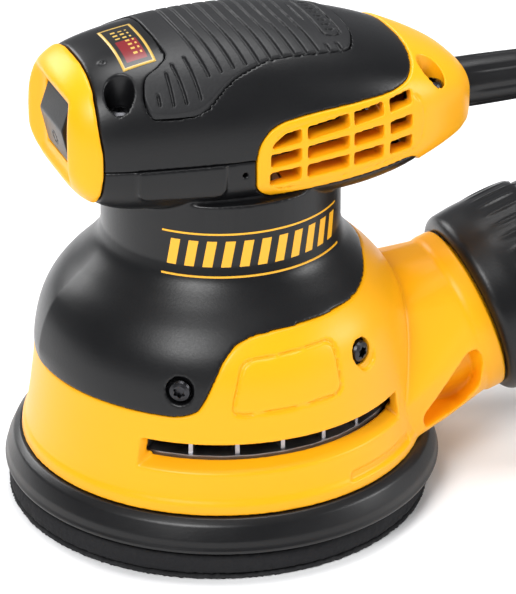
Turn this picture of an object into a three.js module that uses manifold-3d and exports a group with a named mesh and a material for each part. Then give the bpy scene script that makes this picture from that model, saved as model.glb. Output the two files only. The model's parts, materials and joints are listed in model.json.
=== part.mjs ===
// Random orbital sander: palm-grip handle, motor, orbiting pad, rear dust bag and mains cord.
// Millimetres, +Z up. The origin is on the motor axis at the pad's working face.
// The switch faces -X. The cord and the dust port leave towards +X.
import * as THREE from 'three';
import { ConvexGeometry } from 'three/addons/geometries/ConvexGeometry.js';
import { mergeVertices } from 'three/addons/utils/BufferGeometryUtils.js';
import Module from 'manifold-3d';

const wasm = await Module();
wasm.setup();

// Driving dimensions
const gap = 0.3; // clearance between neighbouring pieces
const wall = 2.6; // moulded wall thickness
const orbit = 1.2; // the pad's centre runs round the motor axis at this radius
const padRadius = 61.5;
const foamTop = 9.2;
const foamRim = 7.6; // the foam is lower under the skirt
const skirtTop = 18.0;
const shroudBottom = 18.3;
const boundaryFront = 45.8; // height of the shroud's top edge at the front
const neckRadius = 34;
const neckBore = 31.5;
const neckTop = 100;
const partingHeight = 113; // the upper and lower halves of the handle meet here
const handleHalf = 40; // cutting tools reach this far to each side
const fanRadius = 50.5;
const fanDisc = [31.2, 33.0];
const bladeCount = 24;
const holeCircle = 32.5; // the pad's dust holes lie on this radius
const portCentre = new THREE.Vector3(77, 0, 40.5);
const portTilt = 18.5; // degrees the dust port rises towards the rear
const portFlange = 25;
const portBore = 17;
const cordHeight = 113;
const cordRadius = 3.5;
const protectorEnd = 128;
const coilCentre = new THREE.Vector3(186, 66, 0);
const coilRadii = [30.5, 51.5];
const coilHeights = [1.1, 20.3];
const tailX = coilCentre.x + 47.5;

const bellSides = 28;

// Outer radius of the bell and shroud at each height
const bellProfile = [
  [58.3, 18.3], [56.4, 26], [54.6, 38], [53.4, 49], [52, 56.5], [49.6, 62.5], [45.6, 68],
  [40, 73.5], [35.6, 78.6], [34, 83],
];

// Every second height, for surfaces inside the bell
const innerProfile = bellProfile.filter((_, i) => i % 2 === 1 || i === 0);

function radiusAt(profile, z) {
  const k = profile.findIndex(([, height]) => height >= z);
  if (k < 0) return profile.at(-1)[0];
  if (k === 0) return profile[0][0];
  const [[r0, z0], [r1, z1]] = [profile[k - 1], profile[k]];
  return r0 + ((r1 - r0) * (z - z0)) / (z1 - z0);
}

// A profile's points between two heights, moved inwards
function profileSpan(profile, depth, z0, z1) {
  const between = profile.map(([, z]) => z).filter((z) => z > z0 && z < z1);
  return [z0, ...between, z1].map((z) => [radiusAt(profile, z) - depth, z]);
}

// Solids from geometry, and joins and cuts between them
function solid(shape) {
  if (!shape.isBufferGeometry) return shape;
  shape.deleteAttribute('normal');
  shape.deleteAttribute('uv');
  const merged = mergeVertices(shape, 1e-4);
  const p = merged.attributes.position;
  const corners = [];
  let volume = 0;
  const [a, b, c] = [new THREE.Vector3(), new THREE.Vector3(), new THREE.Vector3()];
  for (let i = 0; i < merged.index.count; i += 3) {
    const t = [0, 1, 2].map((k) => merged.index.getX(i + k));
    if (t[0] === t[1] || t[1] === t[2] || t[2] === t[0]) continue;
    corners.push(t);
    [a, b, c].forEach((v, k) => v.fromBufferAttribute(p, t[k]));
    volume += a.dot(b.cross(c));
  }
  const outward = volume > 0 ? corners : corners.map(([i, j, k]) => [i, k, j]);
  return new wasm.Manifold(new wasm.Mesh({
    numProp: 3,
    vertProperties: p.array,
    triVerts: Uint32Array.from(outward.flat()),
  }));
}

const join = (first, ...rest) => rest.reduce((sum, next) => sum.add(solid(next)), solid(first));
const cut = (first, ...tools) => tools.reduce((left, tool) => left.subtract(solid(tool)), solid(first));
const common = (first, ...rest) => rest.reduce((left, next) => left.intersect(solid(next)), solid(first));

// Basic shapes
function revolve(profile, segments = 32) {
  const points = profile.map(([r, z]) => new THREE.Vector2(r, z));
  return new THREE.LatheGeometry(points, segments).rotateX(Math.PI / 2);
}

function ring(outer, inner, z0, z1, segments = 32) {
  return revolve([[inner, z0], [outer, z0], [outer, z1], [inner, z1], [inner, z0]], segments);
}

function disc(radius, z0, z1, segments = 32) {
  return revolve([[0, z0], [radius, z0], [radius, z1], [0, z1]], segments);
}

function block([x0, x1], [y0, y1], [z0, z1]) {
  const box = new THREE.BoxGeometry(x1 - x0, y1 - y0, z1 - z0);
  return box.translate((x0 + x1) / 2, (y0 + y1) / 2, (z0 + z1) / 2);
}

// A rod along X or Y through the given centre
function rodX(radius, [x0, x1], y, z, segments = 20) {
  return disc(radius, x0, x1, segments).rotateY(Math.PI / 2).translate(0, y, z);
}

const outline = (points) => new THREE.Shape(points.map(([x, y]) => new THREE.Vector2(x, y)));

// Moves each point of an anticlockwise outline inwards
function inset(points, distance) {
  const n = points.length;
  return points.map(([x, y], i) => {
    const [x0, y0] = points[(i + n - 1) % n];
    const [x1, y1] = points[(i + 1) % n];
    const length = Math.hypot(x1 - x0, y1 - y0);
    return [x - ((y1 - y0) / length) * distance, y + ((x1 - x0) / length) * distance];
  });
}

const slab = (points, depth) =>
  new THREE.ExtrudeGeometry(outline(points), { depth, bevelEnabled: false, curveSegments: 6 });

// Extrusions of outlines drawn in XZ along Y, in YZ along X, and in XY along Z
const alongY = (points, [y0, y1]) => slab(points, y1 - y0).rotateX(Math.PI / 2).translate(0, y1, 0);
const alongZ = (points, [z0, z1]) => slab(points, z1 - z0).translate(0, 0, z0);
function alongX(points, [x0, x1]) {
  const turn = new THREE.Matrix4().makeBasis(
    new THREE.Vector3(0, 1, 0), new THREE.Vector3(0, 0, 1), new THREE.Vector3(1, 0, 0),
  );
  return slab(points, x1 - x0).applyMatrix4(turn).translate(x0, 0, 0);
}

const radians = THREE.MathUtils.degToRad;

// The same span on the +Y side, or mirrored to -Y
const sideSpan = (side, low, high) => (side > 0 ? [low, high] : [-high, -low]);

// Turns a shape drawn about +X into the radial direction at an angle round the motor axis
const atAngle = (geometry, degrees) => geometry.rotateZ(radians(degrees));

// Places a shape drawn about +Z on the dust port's axis
function onPort(geometry) {
  return geometry.rotateY(radians(90 - portTilt)).translate(portCentre.x, portCentre.y, portCentre.z);
}

// Model tree and materials
const sander = new THREE.Group();
sander.name = 'orbital_sander';

const finish = (color, roughness, metalness = 0) =>
  new THREE.MeshStandardMaterial({ color, roughness, metalness });
const materials = {
  yellow: () => finish(0xf9a90c, 0.42),
  black: () => finish(0x1c1c1f, 0.45),
  grip: () => finish(0x2f3033, 0.75),
  rubber: () => finish(0x161618, 0.6),
  foam: () => finish(0x2b2b2d, 0.95),
  steel: () => finish(0xb9bcc0, 0.3, 1),
  aluminium: () => finish(0xc9ccd0, 0.4, 1),
  copper: () => finish(0xb4622d, 0.35, 1),
  brass: () => finish(0xc9a24a, 0.35, 1),
  carbon: () => finish(0x25262a, 0.7),
  fabric: () => finish(0x19191b, 0.9),
};

function add(name, shape, material) {
  const mesh = solid(shape).getMesh();
  const geometry = new THREE.BufferGeometry();
  geometry.setAttribute('position', new THREE.BufferAttribute(mesh.vertProperties, mesh.numProp));
  geometry.setIndex(new THREE.BufferAttribute(mesh.triVerts, 1));
  geometry.computeVertexNormals();
  const part = new THREE.Mesh(geometry, materials[material]());
  part.name = name;
  sander.add(part);
}

// Handle form: rounded sections along X, each with a half width, a top and a bottom height
const handleStations = [
  [-51.4, 0, 121, 119], [-51, 11.6, 127.6, 113.2], [-49.8, 18, 131.8, 109.4], [-46.2, 23, 136, 103],
  [-38, 26.6, 139.4, 98.4], [-24, 29.4, 142, 97], [-8, 31.6, 143.2, 96], [10, 32.4, 142.8, 95.4],
  [28, 31.8, 140, 95.8], [42, 29.8, 136.2, 98], [53, 26.2, 132, 101.2], [62, 20.6, 127.6, 103],
  [67.5, 15.6, 123.8, 104.2], [70.8, 10, 119.8, 106], [71.4, 0, 115, 113],
];
const handleMiddle = 115;
const handleSides = 20;
const squareness = { above: 2.5, below: 4 }; // 2 is a plain ellipse

function handleForm(depth) {
  const form = new THREE.SphereGeometry(1, handleSides, handleStations.length - 1);
  const positions = form.attributes.position;
  const [first, last] = [handleStations[0][0], handleStations.at(-1)[0]];
  const middle = (first + last) / 2;
  const shrink = 1 - (2 * depth) / (last - first);
  const rounded = (value, power) => Math.sign(value) * Math.abs(value) ** (2 / power);
  handleStations.forEach(([x, half, top, bottom], row) => {
    for (let i = 0; i <= handleSides; i += 1) {
      const angle = (2 * Math.PI * (i % handleSides)) / handleSides;
      const power = Math.sin(angle) > 0 ? squareness.above : squareness.below;
      const [across, up] = [rounded(Math.cos(angle), power), rounded(Math.sin(angle), power)];
      const reach = up > 0 ? top - handleMiddle : handleMiddle - bottom;
      positions.setXYZ(
        row * (handleSides + 1) + i,
        middle + (x - middle) * shrink,
        half === 0 ? 0 : Math.max(half - depth, 1) * across,
        half === 0 ? handleMiddle : handleMiddle + Math.max(reach - depth, 1) * up,
      );
    }
  });
  return form;
}

const handleOuter = solid(handleForm(0));
const handleShell = cut(handleOuter, handleForm(wall));

// The yellow pieces' outlines in the side view, and the same grown by the gap
const bezelEdge = [[-43.5, 150], [-42.2, 138], [-43, 127], [-42.2, 116], [-42.9, 106], [-45.4, 90]];
const bezelZone = (grow) => alongY(
  [[-70, 90], ...bezelEdge.map(([x, z]) => [x + grow, z]).reverse(), [-70, 150]], [-handleHalf, handleHalf],
);
const ventOutline = [
  [-0.8, 104], [2.6, 101.6], [10, 101.8], [24, 102.9], [35, 104.2], [46, 106], [50, 103.5],
  [52, 90], [80, 90], [80, 150], [53, 150], [51.4, 134], [49.4, 130], [46, 127], [40, 125.5],
  [27, 124.8], [16, 124.2], [6.5, 122.9], [2.6, 120.8], [0, 117.4], [-1, 112.6],
];
const grilleOutline = [
  [3.4, 105.4], [16, 104.6], [31, 106], [48.6, 109.4], [49.4, 114.5], [48.6, 121], [27, 121.8],
  [7, 120], [3.4, 117],
];
const grilleDepth = 7;
const ventZone = (grow) => alongY(inset(ventOutline, -grow), [-handleHalf, handleHalf]);

// The shroud rises behind the screw tabs and stays low at the front
const shroudOutline = [
  [-70, 10], [90, 10], [90, 73], [37, 73], [34, 71], [28, 69], [15, 68.3], [0, 67.8], [-8, 67],
  [-13, 65],
  [-16.5, 61.5], [-19, 57], [-22.5, 50], [-24.5, 47.4], [-29, boundaryFront], [-45, boundaryFront + 0.2],
  [-70, boundaryFront - 1],
];
const shroudZone = (grow) => alongY(inset(shroudOutline, -grow), [-70, 70]);

// A shell that follows the bell profile between two depths, from z0 to z1
function bellShell(outerDepth, innerDepth, z0, z1) {
  const outer = profileSpan(bellProfile, outerDepth, z0, z1);
  const inner = profileSpan(innerProfile, innerDepth, z0, z1).reverse();
  return revolve([...outer, ...inner, outer[0]], bellSides);
}

// A solid that fills the bell up to a depth
function bellCore(depth, z0, z1) {
  return revolve([[0, z0], ...profileSpan(innerProfile, depth, z0, z1), [0, z1]], bellSides);
}

// A pan-head screw about +Z: the head's span, then the shank down to its tip
function screwForm(headRadius, [headLow, headHigh], shankRadius, tip) {
  return join(disc(headRadius, headLow, headHigh, 12), disc(shankRadius, tip, headLow + 0.1, 8));
}

const rockerFrame = -45.4; // the bezel is thick around the rocker as far back as this
const coverScrews = [[-36, 20.2, 126], [55, 19.5, 121]]; // X, Y, seat height
const screwPocket = 4;
const shroudScrews = [[61, 56.5], [122.6, 53.6]];

function makeTopCover() {
  const shell = cut(
    handleShell, bezelZone(gap), ventZone(gap),
    block([-80, 100], [-50, 50], [80, partingHeight + gap / 2]),
  );
  const gripRecess = cut(alongZ(inset(gripOutline, -gap), [gripLow - gap, 160]), handleForm(1.5 + gap));
  let cover = cut(shell, gripRecess);
  const [x, y, seat] = coverScrews[0];
  for (const side of [-1, 1]) {
    const boss = common(disc(5.8, partingHeight + gap / 2, 150, 20).translate(x, side * y, 0), handleOuter);
    cover = cut(
      join(cover, cut(boss, bezelZone(gap))),
      disc(screwPocket, seat, 150, 20).translate(x, side * y, 0),
      disc(2, 90, 150, 12).translate(x, side * y, 0),
    );
  }
  return cover;
}

// The rubber panel over the top of the handle, in plan
const gripLow = 127; // the panel stops at this height on the handle's sides
const gripSide = [
  [-21.4, 0], [-21.2, 10], [-20.8, 16], [-24, 18.4], [-29, 20.2], [-30.2, 24.4], [-28.8, 26.6],
  [-23, 27.9], [-16, 28.7], [-12, 28], [-4, 24.8], [6, 22.2], [20, 21], [31, 19.4], [34, 12],
  [35, 0],
];
const gripOutline = [...gripSide.slice(1, -1).map(([x, y]) => [x, -y]), ...[...gripSide].reverse()];

function makeGrip() {
  const band = cut(handleOuter, handleForm(1.5));
  return common(band, alongZ(gripOutline, [gripLow, 160]));
}

function makeBezel() {
  const shell = common(handleShell, bezelZone(0));
  const frame = common(handleForm(wall / 2), block([-52, rockerFrame], [-16.4, 16.4], [104.4, 132]));
  const mouths = [[-47.2, 12.4, 107.4, 129], [-54, 23.5, 99, 137]];
  const dish = new ConvexGeometry(mouths.flatMap(([x, half, low, high]) =>
    [-half, half].flatMap((y) => [low, high].map((z) => new THREE.Vector3(x, y, z)))));
  return cut(join(shell, frame), dish, block([-60, rockerFrame + 1], [-10.8, 10.8], [108.9, 128.1]));
}

function makeVentCover() {
  const louvreBand = cut(
    handleForm(wall - 0.2), handleForm(grilleDepth), block([-60, 80], [-24.2, 24.2], [90, 160]),
  );
  const grille = common(louvreBand, alongY(grilleOutline, [-handleHalf, handleHalf]));
  let cover = join(common(handleShell, ventZone(0)), grille);
  const [x, y, seat] = coverScrews[1];
  for (const side of [-1, 1]) {
    const boss = common(disc(5.4, 113, 150, 16).translate(x, side * y, 0), handleOuter, ventZone(0));
    cover = cut(
      join(cover, boss),
      disc(screwPocket, seat, 150, 16).translate(x, side * y, 0),
      disc(2, 100, 150, 12).translate(x, side * y, 0),
    );
  }
  const columns = [[2.9, 11.8], [13.6, 26], [27.4, 36.6], [38.6, 45.8]];
  const rows = [[106.7, 0.09], [112, 0.105], [117.2, 0.135]]; // height at X = 0 and slope
  for (const [x0, x1] of columns) {
    for (const [z, slope] of rows) {
      const louvre = block([(x0 - x1) / 2, (x1 - x0) / 2], [-handleHalf, handleHalf], [-1.8, 1.8]);
      const middle = (x0 + x1) / 2;
      cover = cut(cover, louvre.rotateY(-Math.atan(slope)).translate(middle, 0, z + middle * slope));
    }
  }
  return cut(cover, rodX(7.9, [64, 80], 0, cordHeight), rodX(8.9, [60.6, 64.2], 0, cordHeight));
}

function makeMotorHousing() {
  const lowerShell = cut(
    handleShell, bezelZone(gap), ventZone(gap), block([-80, 100], [-50, 50], [partingHeight - gap / 2, 160]),
  );
  const neck = ring(neckRadius, neckBore, 82, neckTop, bellSides);
  const shroudSpace = common(bellShell(-2, wall + gap, 10, 82.5), shroudZone(gap));
  const bell = cut(bellShell(0, 4.9, 43.6, 79), shroudSpace);
  const shoulder = bellShell(0, wall, 78.9, 82.1);
  const seatRing = ring(16.6, 13.3, 45.4, 54.4, 32);
  const arms = [0, 90].map((turn) => cut(
    block([-49, 49], [-2, 2], [45.6, 49]).rotateZ(radians(45 + turn)), disc(15, 40, 60, 24),
  ));
  let housing = join(lowerShell, neck, bell, shoulder, seatRing, ...arms);
  housing = cut(housing, disc(neckBore, 82, 97, bellSides), disc(28.4, 90, 101.6));
  housing = join(housing, block([30, 58], [-16, 16], [109.4, 112]), block([30, 42], [-16, 16], [98.8, 110]));
  for (const side of [-1, 1]) {
    const [x, y] = coverScrews[0];
    const boss = cut(
      common(disc(5, 96, partingHeight - gap / 2, 20).translate(x, side * y, 0), handleOuter), bezelZone(gap),
    );
    housing = join(housing, boss);
    for (const [sx, sy] of coverScrews) {
      housing = cut(housing, disc(2, 101, 114, 8).translate(sx, side * sy, 0));
    }
    for (const [angle, z] of shroudScrews) {
      housing = cut(housing, atAngle(rodX(1.9, [30, 60], 0, z, 12), side * angle));
    }
    housing = cut(housing, atAngle(rodX(3.8, [50.4, 70], 0, shroudScrews[1][1]), side * shroudScrews[1][0]));
  }
  return housing;
}

// Dust port: a funnel that grows out of the shroud's back and ends in a round flange and spigot
const funnelSide = [
  [41, 36, 29.5], [41, 36, 19], [46, 34, 18.6], [59, 26, 18.6], [67, 20.5, 19.4], [72.6, 18, 25],
  [71.5, 20, 39], [68, 20, 49.5], [62, 9, 58], [50, 5, 60], [46, 14, 56.6], [38, 22, 52],
];
const pocketOutline = [
  [51, 21.6], [66, 22.2], [70.6, 26], [71, 35.4], [69.4, 38.6], [66.6, 38.4], [61, 33.4],
  [55.4, 28.2], [50.6, 24.4],
];

function makePort() {
  const duct = onPort(revolve([
    [0, -34], [20.4, -34], [20.4, -8], [portFlange - 0.4, -6], [portFlange, 0], [20, 0.2], [20, 18], [0, 18],
  ], 36));
  const rim = Array.from({ length: 12 }, (_, i) => new THREE.Vector3(24, 0, -5).applyAxisAngle(
    new THREE.Vector3(0, 0, 1), radians(30 * i),
  ).applyAxisAngle(new THREE.Vector3(0, 1, 0), radians(90 - portTilt)).add(portCentre));
  const corners = [-1, 1].flatMap((side) => funnelSide.map(([x, y, z]) => new THREE.Vector3(x, side * y, z)));
  const pockets = [-1, 1].map((side) => alongY(pocketOutline, sideSpan(side, 16.6, 50)));
  return join(cut(new ConvexGeometry([...corners, ...rim]), ...pockets), duct);
}

// The air slot runs round the front of the shroud between these angles
const slotAngles = [-132, -45];
const slotSector = alongZ([
  [0, 0],
  ...[slotAngles[0], -90, slotAngles[1]].map((angle) => [
    110 * Math.cos(radians(angle)), 110 * Math.sin(radians(angle)),
  ]),
], [20, 50]);

function makeShroud() {
  const body = common(bellShell(0, wall, shroudBottom, 76), shroudZone(0));
  const port = cut(
    makePort(), bellCore(wall, 5, 78), disc(66, 0, shroudBottom), disc(54.6, 18, 22.4),
    block([-60, 30], [-60, 60], [0, 90]),
  );
  const lip = revolve([[51.3, 29.6], [54, 27.4], [54, 33], [51.3, 33], [51.3, 29.6]], bellSides);
  let shroud = join(body, port, common(lip, slotSector));
  shroud = cut(shroud, onPort(disc(portBore, -40, 30, 32)));
  const slot = revolve([[48, 33.2], [51, 32.8], [60, 27.6], [60, 38.4], [48, 38.4], [48, 33.2]], bellSides);
  shroud = cut(shroud, common(slot, slotSector));
  for (const side of [-1, 1]) {
    const [[yellowAngle, yellowZ], [tabAngle, tabZ]] = shroudScrews;
    shroud = cut(shroud, atAngle(rodX(3.8, [40, 70], 0, yellowZ), side * yellowAngle));
    shroud = cut(shroud, atAngle(rodX(1.9, [40, 70], 0, tabZ, 12), side * tabAngle));
  }
  return shroud;
}

function makeSkirt() {
  return revolve([
    [51.8, 22], [54, 22], [54, skirtTop], [58.7, skirtTop], [60.6, 16.6], [62.4, 13.2], [63.5, 9.8],
    [63.2, 8.7], [61.6, 8.7], [60.4, 13.1], [50, 13.1], [50, 14.1], [51.8, 14.6], [51.8, 22],
  ], 30);
}

// Motor: fixed parts
function makeFieldCore() {
  let core = ring(30, 17.2, 62, 94, 30);
  for (const side of [-1, 1]) {
    core = cut(core, block([-13, 13], [side * 22 - 4.5, side * 22 + 4.5], [60, 96]));
  }
  return core;
}

function makeFieldCoil(side) {
  const thickness = [side * 22 - 3.8, side * 22 + 3.8];
  const legs = [-1, 1].map((end) => block([end * 8.6 - 3.2, end * 8.6 + 3.2], thickness, [58, 98]));
  const bars = [[57.4, 61.6], [94.4, 98.4]].map((z) => block([-11.8, 11.8], thickness, z));
  return join(...legs, ...bars);
}

function makeBrushHolder(side) {
  const sleeve = block([-5, 5], sideSpan(side, 12.4, 20.4), [103.4, 114.6]);
  return cut(sleeve, block([-3.4, 3.4], sideSpan(side, 12, 19.2), [104.6, 113.4]));
}

const makeBrush = (side) => block([-3, 3], sideSpan(side, 11.4, 15), [105, 113]);

// A coil spring along Y between the brush and the closed end of its holder
function makeBrushSpring(side) {
  const turns = 3;
  const steps = 30;
  const points = Array.from({ length: steps + 1 }, (_, i) => {
    const angle = (2 * Math.PI * turns * i) / steps;
    return new THREE.Vector3(
      2.1 * Math.cos(angle), side * (15.7 + (2.8 * i) / steps), 109 + 2.1 * Math.sin(angle),
    );
  });
  return tube(points, 0.35, 5, steps);
}

// A round tube along a smooth curve
function tube(points, radius, sides, steps) {
  const section = new THREE.Shape(Array.from({ length: sides }, (_, i) => {
    const angle = (2 * Math.PI * i) / sides;
    return new THREE.Vector2(radius * Math.cos(angle), radius * Math.sin(angle));
  }));
  const extrudePath = new THREE.CatmullRomCurve3(points, false, 'centripetal');
  return new THREE.ExtrudeGeometry(section, { steps, extrudePath, bevelEnabled: false });
}

function makeUpperBracket() {
  const boss = ring(14.5, 11.3, 120, 129.4, 28);
  const bridge = cut(block([-6, 6], [-23.6, 23.6], [119.6, 122.4]), disc(12.6, 110, 130, 28));
  const legs = [-1, 1].map((side) => block([-6, 6], sideSpan(side, 21, 23.6), [104, 120]));
  const retainer = cut(block([-15, 15], [-15, 15], [129, 130.4]), disc(9, 120, 140, 24));
  return join(boss, bridge, ...legs, retainer);
}

// Armature: everything that turns with the motor shaft
function makeWinding() {
  const heads = [[56.6, 61.7], [94.3, 99.4]].map(([z0, z1]) => ring(14.6, 6, z0, z1, 24));
  const bars = Array.from({ length: 10 }, (_, i) =>
    disc(1.5, 61, 95, 5).translate(12, 0, 0).rotateZ(radians(36 * i)));
  return join(...heads, ...bars);
}

function makeArmatureCore() {
  const slots = Array.from({ length: 10 }, (_, i) =>
    disc(1.9, 60, 96, 6).translate(12, 0, 0).rotateZ(radians(36 * i)));
  return cut(ring(16.6, 4.3, 62, 94, 24), ...slots);
}

function makeFan() {
  let fan = join(disc(fanRadius, ...fanDisc, 36), disc(10, 30.4, 40, 16));
  for (let i = 0; i < bladeCount; i += 1) {
    const upper = block([27, fanRadius - 1], [-0.6, 0.6], [fanDisc[1] - 0.2, 38.4]);
    fan = join(fan, upper.rotateZ((2 * Math.PI * i) / bladeCount));
  }
  for (let i = 0; i < bladeCount; i += 3) {
    const lower = block([37, fanRadius - 2], [-0.7, 0.7], [24.5, fanDisc[0] + 0.2]);
    fan = join(fan, lower.rotateZ((2 * Math.PI * i) / bladeCount));
  }
  return cut(fan, disc(4.3, 20, 50, 20));
}

function makeHub() {
  const body = revolve([[0, 16.2], [18.5, 16.2], [18.5, 26], [12, 30.1], [0, 30.1]], 32);
  return cut(body, disc(13.3, 10, 25.6, 28).translate(-orbit, 0, 0), disc(4.3, 20, 40, 20));
}

// The counterweight sits on the far side of the shaft from the pad's centre
function makeCounterweight() {
  const span = 64;
  const reach = 60;
  const sector = alongZ([
    [0, 0], [reach * Math.cos(radians(-span)), reach * Math.sin(radians(-span))], [90, 0],
    [reach * Math.cos(radians(span)), reach * Math.sin(radians(span))],
  ], [10, 40]);
  return common(ring(33, 19, 19, 26.6, 40), sector);
}

function bearingOuter(outer, z0, z1) {
  return ring(outer, outer - 2.4, z0, z1, 20);
}

function bearingInner(bore, z0, z1) {
  return ring(bore + 2.4, bore, z0, z1, 18);
}

// Pad: hangs on the eccentric bearing, so it orbits and can also spin
function padHoles(z0, z1) {
  const dust = Array.from({ length: 8 }, (_, i) =>
    disc(5, z0, z1, 8).translate(holeCircle, 0, 0).rotateZ(radians(45 * i)));
  return dust.map((hole) => hole.translate(-orbit, 0, 0));
}

function screwHoles(radius, z0, z1, segments = 6) {
  return [0, 1, 2].map((i) => (
    disc(radius, z0, z1, segments).translate(11.5, 0, 0)
      .rotateZ(radians(60 + 120 * i)).translate(-orbit, 0, 0)
  ));
}

function padLayer(radius, z0, z1, accessRadius) {
  return cut(
    disc(radius, z0, z1, 36).translate(-orbit, 0, 0),
    ...padHoles(z0 - 1, z1 + 1), ...screwHoles(accessRadius, z0 - 1, z1 + 1),
  );
}

function makeSpindle() {
  const form = revolve([
    [0, 12.8], [16, 12.8], [16, 15.4], [7, 15.4], [7, 16.6], [5, 16.6], [5, 25], [0, 25],
  ], 28);
  return cut(form.translate(-orbit, 0, 0), ...screwHoles(2.1, 12, 15.1));
}

// Dust bag
function makeCollar() {
  let collar = onPort(revolve([
    [23, 0.4], [26.6, 0.4], [28.3, 2.2], [28.8, 10], [28.8, 27], [25.2, 28], [25.2, 34],
    [18.5, 34], [18.5, 18.4], [23, 18.4], [23, 0.4],
  ], 28));
  for (let i = 0; i < 6; i += 1) {
    const groove = block([28, 31], [-0.9, 0.9], [11, 30]).rotateZ(radians(180 - 62.5 + 25 * i));
    collar = cut(collar, onPort(groove));
  }
  return collar;
}

function makePouch() {
  const outer = [[25.6, 28.4], [27.6, 31], [28, 60], [28, 90], [26.5, 108], [20, 120], [13, 124]];
  const inner = [[25.6, 36], [26, 60], [26, 90], [24.4, 107], [18, 118], [0, 121]];
  return onPort(revolve([[0, 124], ...outer.reverse(), ...inner], 24));
}

function makeBagClip() {
  return cut(
    onPort(block([-4, 4], [-27, 27], [124.4, 133])), onPort(block([-1.2, 1.2], [-24, 24], [123, 130])),
  );
}

// Cord: the protector leads it out level, then it drops and lands on its coil
const leadRoute = [
  [protectorEnd + gap, 0, 113], [140, 0.6, 112.8], [152, 4.4, 111], [161.5, 12.5, 106.5], [166.5, 23, 98.5],
  [167, 32.5, 87.5], [164, 39, 74.5], [159.5, 43, 61], [155, 46.5, 48], [151, 51, 37.2],
  [147.8, 57.4, 29.6], [146, 65.5, 25.4],
];
const tailRoute = [[tailX, 39, 4.6], [tailX, 33, 4.6], [tailX, 27, 4.7], [tailX, 22, 4.8]];

const toVectors = (points) => points.map(([x, y, z]) => new THREE.Vector3(x, y, z));

function makeProtector() {
  const bootProfile = [
    [0, 61], [8.5, 61], [8.5, 63.6], [7.5, 63.6], [7.5, 78], [7, 96], [6, 116], [5.2, protectorEnd],
    [0, protectorEnd],
  ];
  let boot = revolve(bootProfile, 20).rotateY(Math.PI / 2).translate(0, 0, cordHeight);
  for (let i = 0; i < 3; i += 1) {
    const z = cordHeight;
    const flute = block([96 + 9 * i, 98 + 9 * i], [-12, 12], [z - 12, z + 12]);
    const core = rodX(4.9 - 0.2 * i, [80, 125], 0, z, 12);
    boot = cut(boot, cut(flute, core));
  }
  return boot;
}

function makeClamp() {
  const bar = block([54, 59], [-12, 12], [112.4, 120]);
  return cut(bar, rodX(4, [50, 70], 0, cordHeight));
}

function makeTie() {
  const [inner, outer] = coilRadii;
  const around = block(
    [coilCentre.x + inner - 2, coilCentre.x + outer + 1.1], [coilCentre.y - 5, coilCentre.y + 5],
    [0, 21.4],
  );
  return cut(around, block(
    [coilCentre.x + inner - 1.2, coilCentre.x + outer + 0.3], [coilCentre.y - 9, coilCentre.y + 9],
    [coilHeights[0] - 0.3, coilHeights[1] + 0.3]));
}

function makePlug() {
  const form = alongZ([
    [-4.6, 22], [4.6, 22], [5.4, 14], [9, 6], [9.5, -2], [9.5, -12], [-9.5, -12], [-9.5, -2],
    [-9, 6], [-5.4, 14],
  ], [0.2, 13.4]).translate(tailX, -0.4, 0);
  const bore = block([tailX - 4, tailX + 4], [21.2, 30], [0, 14]);
  const slots = [-1, 1].map((side) => bladeBox(side, gap, 0.001));
  return cut(form, bore, ...slots);
}

function bladeBox(side, grow, end) {
  const x = tailX + side * 6.35;
  return block([x - 0.75 - grow, x + 0.75 + grow], [-30 - end, -6 + grow], [3.9 - grow, 9.9 + grow]);
}

// Moves a finished solid by turning its points with a matrix
function placed(form, matrix) {
  const { vertProperties, triVerts } = form.getMesh();
  const geometry = new THREE.BufferGeometry();
  geometry.setAttribute('position', new THREE.BufferAttribute(vertProperties, 3));
  geometry.setIndex(new THREE.BufferAttribute(triVerts, 1));
  return geometry.applyMatrix4(matrix);
}

const shiftedTo = (form, x, y, z = 0) => placed(form, new THREE.Matrix4().makeTranslation(x, y, z));

// A radial screw whose head faces outwards at a height and angle on the bell
function shroudScrew(seatRadius, z, degrees) {
  const form = screwForm(3.1, [0, 2.2], 1.5, -8);
  const matrix = new THREE.Matrix4().makeRotationZ(radians(degrees))
    .multiply(new THREE.Matrix4().makeTranslation(seatRadius, 0, z))
    .multiply(new THREE.Matrix4().makeRotationY(Math.PI / 2));
  return placed(form, matrix);
}

// Housing
add('top_cover', makeTopCover(), 'black');
add('grip_panel', makeGrip(), 'grip');
add('front_bezel', makeBezel(), 'yellow');
add('rear_vent_cover', makeVentCover(), 'yellow');
add('motor_housing', makeMotorHousing(), 'black');
add('dust_shroud', makeShroud(), 'yellow');
add('brake_skirt', makeSkirt(), 'rubber');
add('fan_baffle', ring(50, 24, 40.6, 42.6, 40), 'black');
for (const [sideName, side] of [['right', -1], ['left', 1]]) {
  for (const [end, [x, y, seat]] of [['front', coverScrews[0]], ['rear', coverScrews[1]]]) {
    const form = screwForm(3.5, [seat + gap, seat + 2.7], 1.6, end === 'front' ? 104 : 107.4);
    add(`cover_screw_${end}_${sideName}`, shiftedTo(form, x, side * y), 'steel');
  }
  const [[yellowAngle, yellowZ], [tabAngle, tabZ]] = shroudScrews;
  add(`shroud_screw_rear_${sideName}`, shroudScrew(49.6, yellowZ, side * yellowAngle), 'steel');
  add(`shroud_screw_front_${sideName}`, shroudScrew(50.8, tabZ, side * tabAngle), 'steel');
}

// Switch
const rockerSide = [
  [-41.2, 114], [-42.6, 109.8], [-46.8, 109.8], [-49.2, 119.8], [-46.4, 127.2], [-42.6, 127.2],
  [-41.2, 123],
];
add('switch_rocker', alongY([...rockerSide].reverse(), [-9.8, 9.8]), 'black');
add('switch_body', block([-39.6, -24], [-9.4, 9.4], [109, 128]), 'black');

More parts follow.
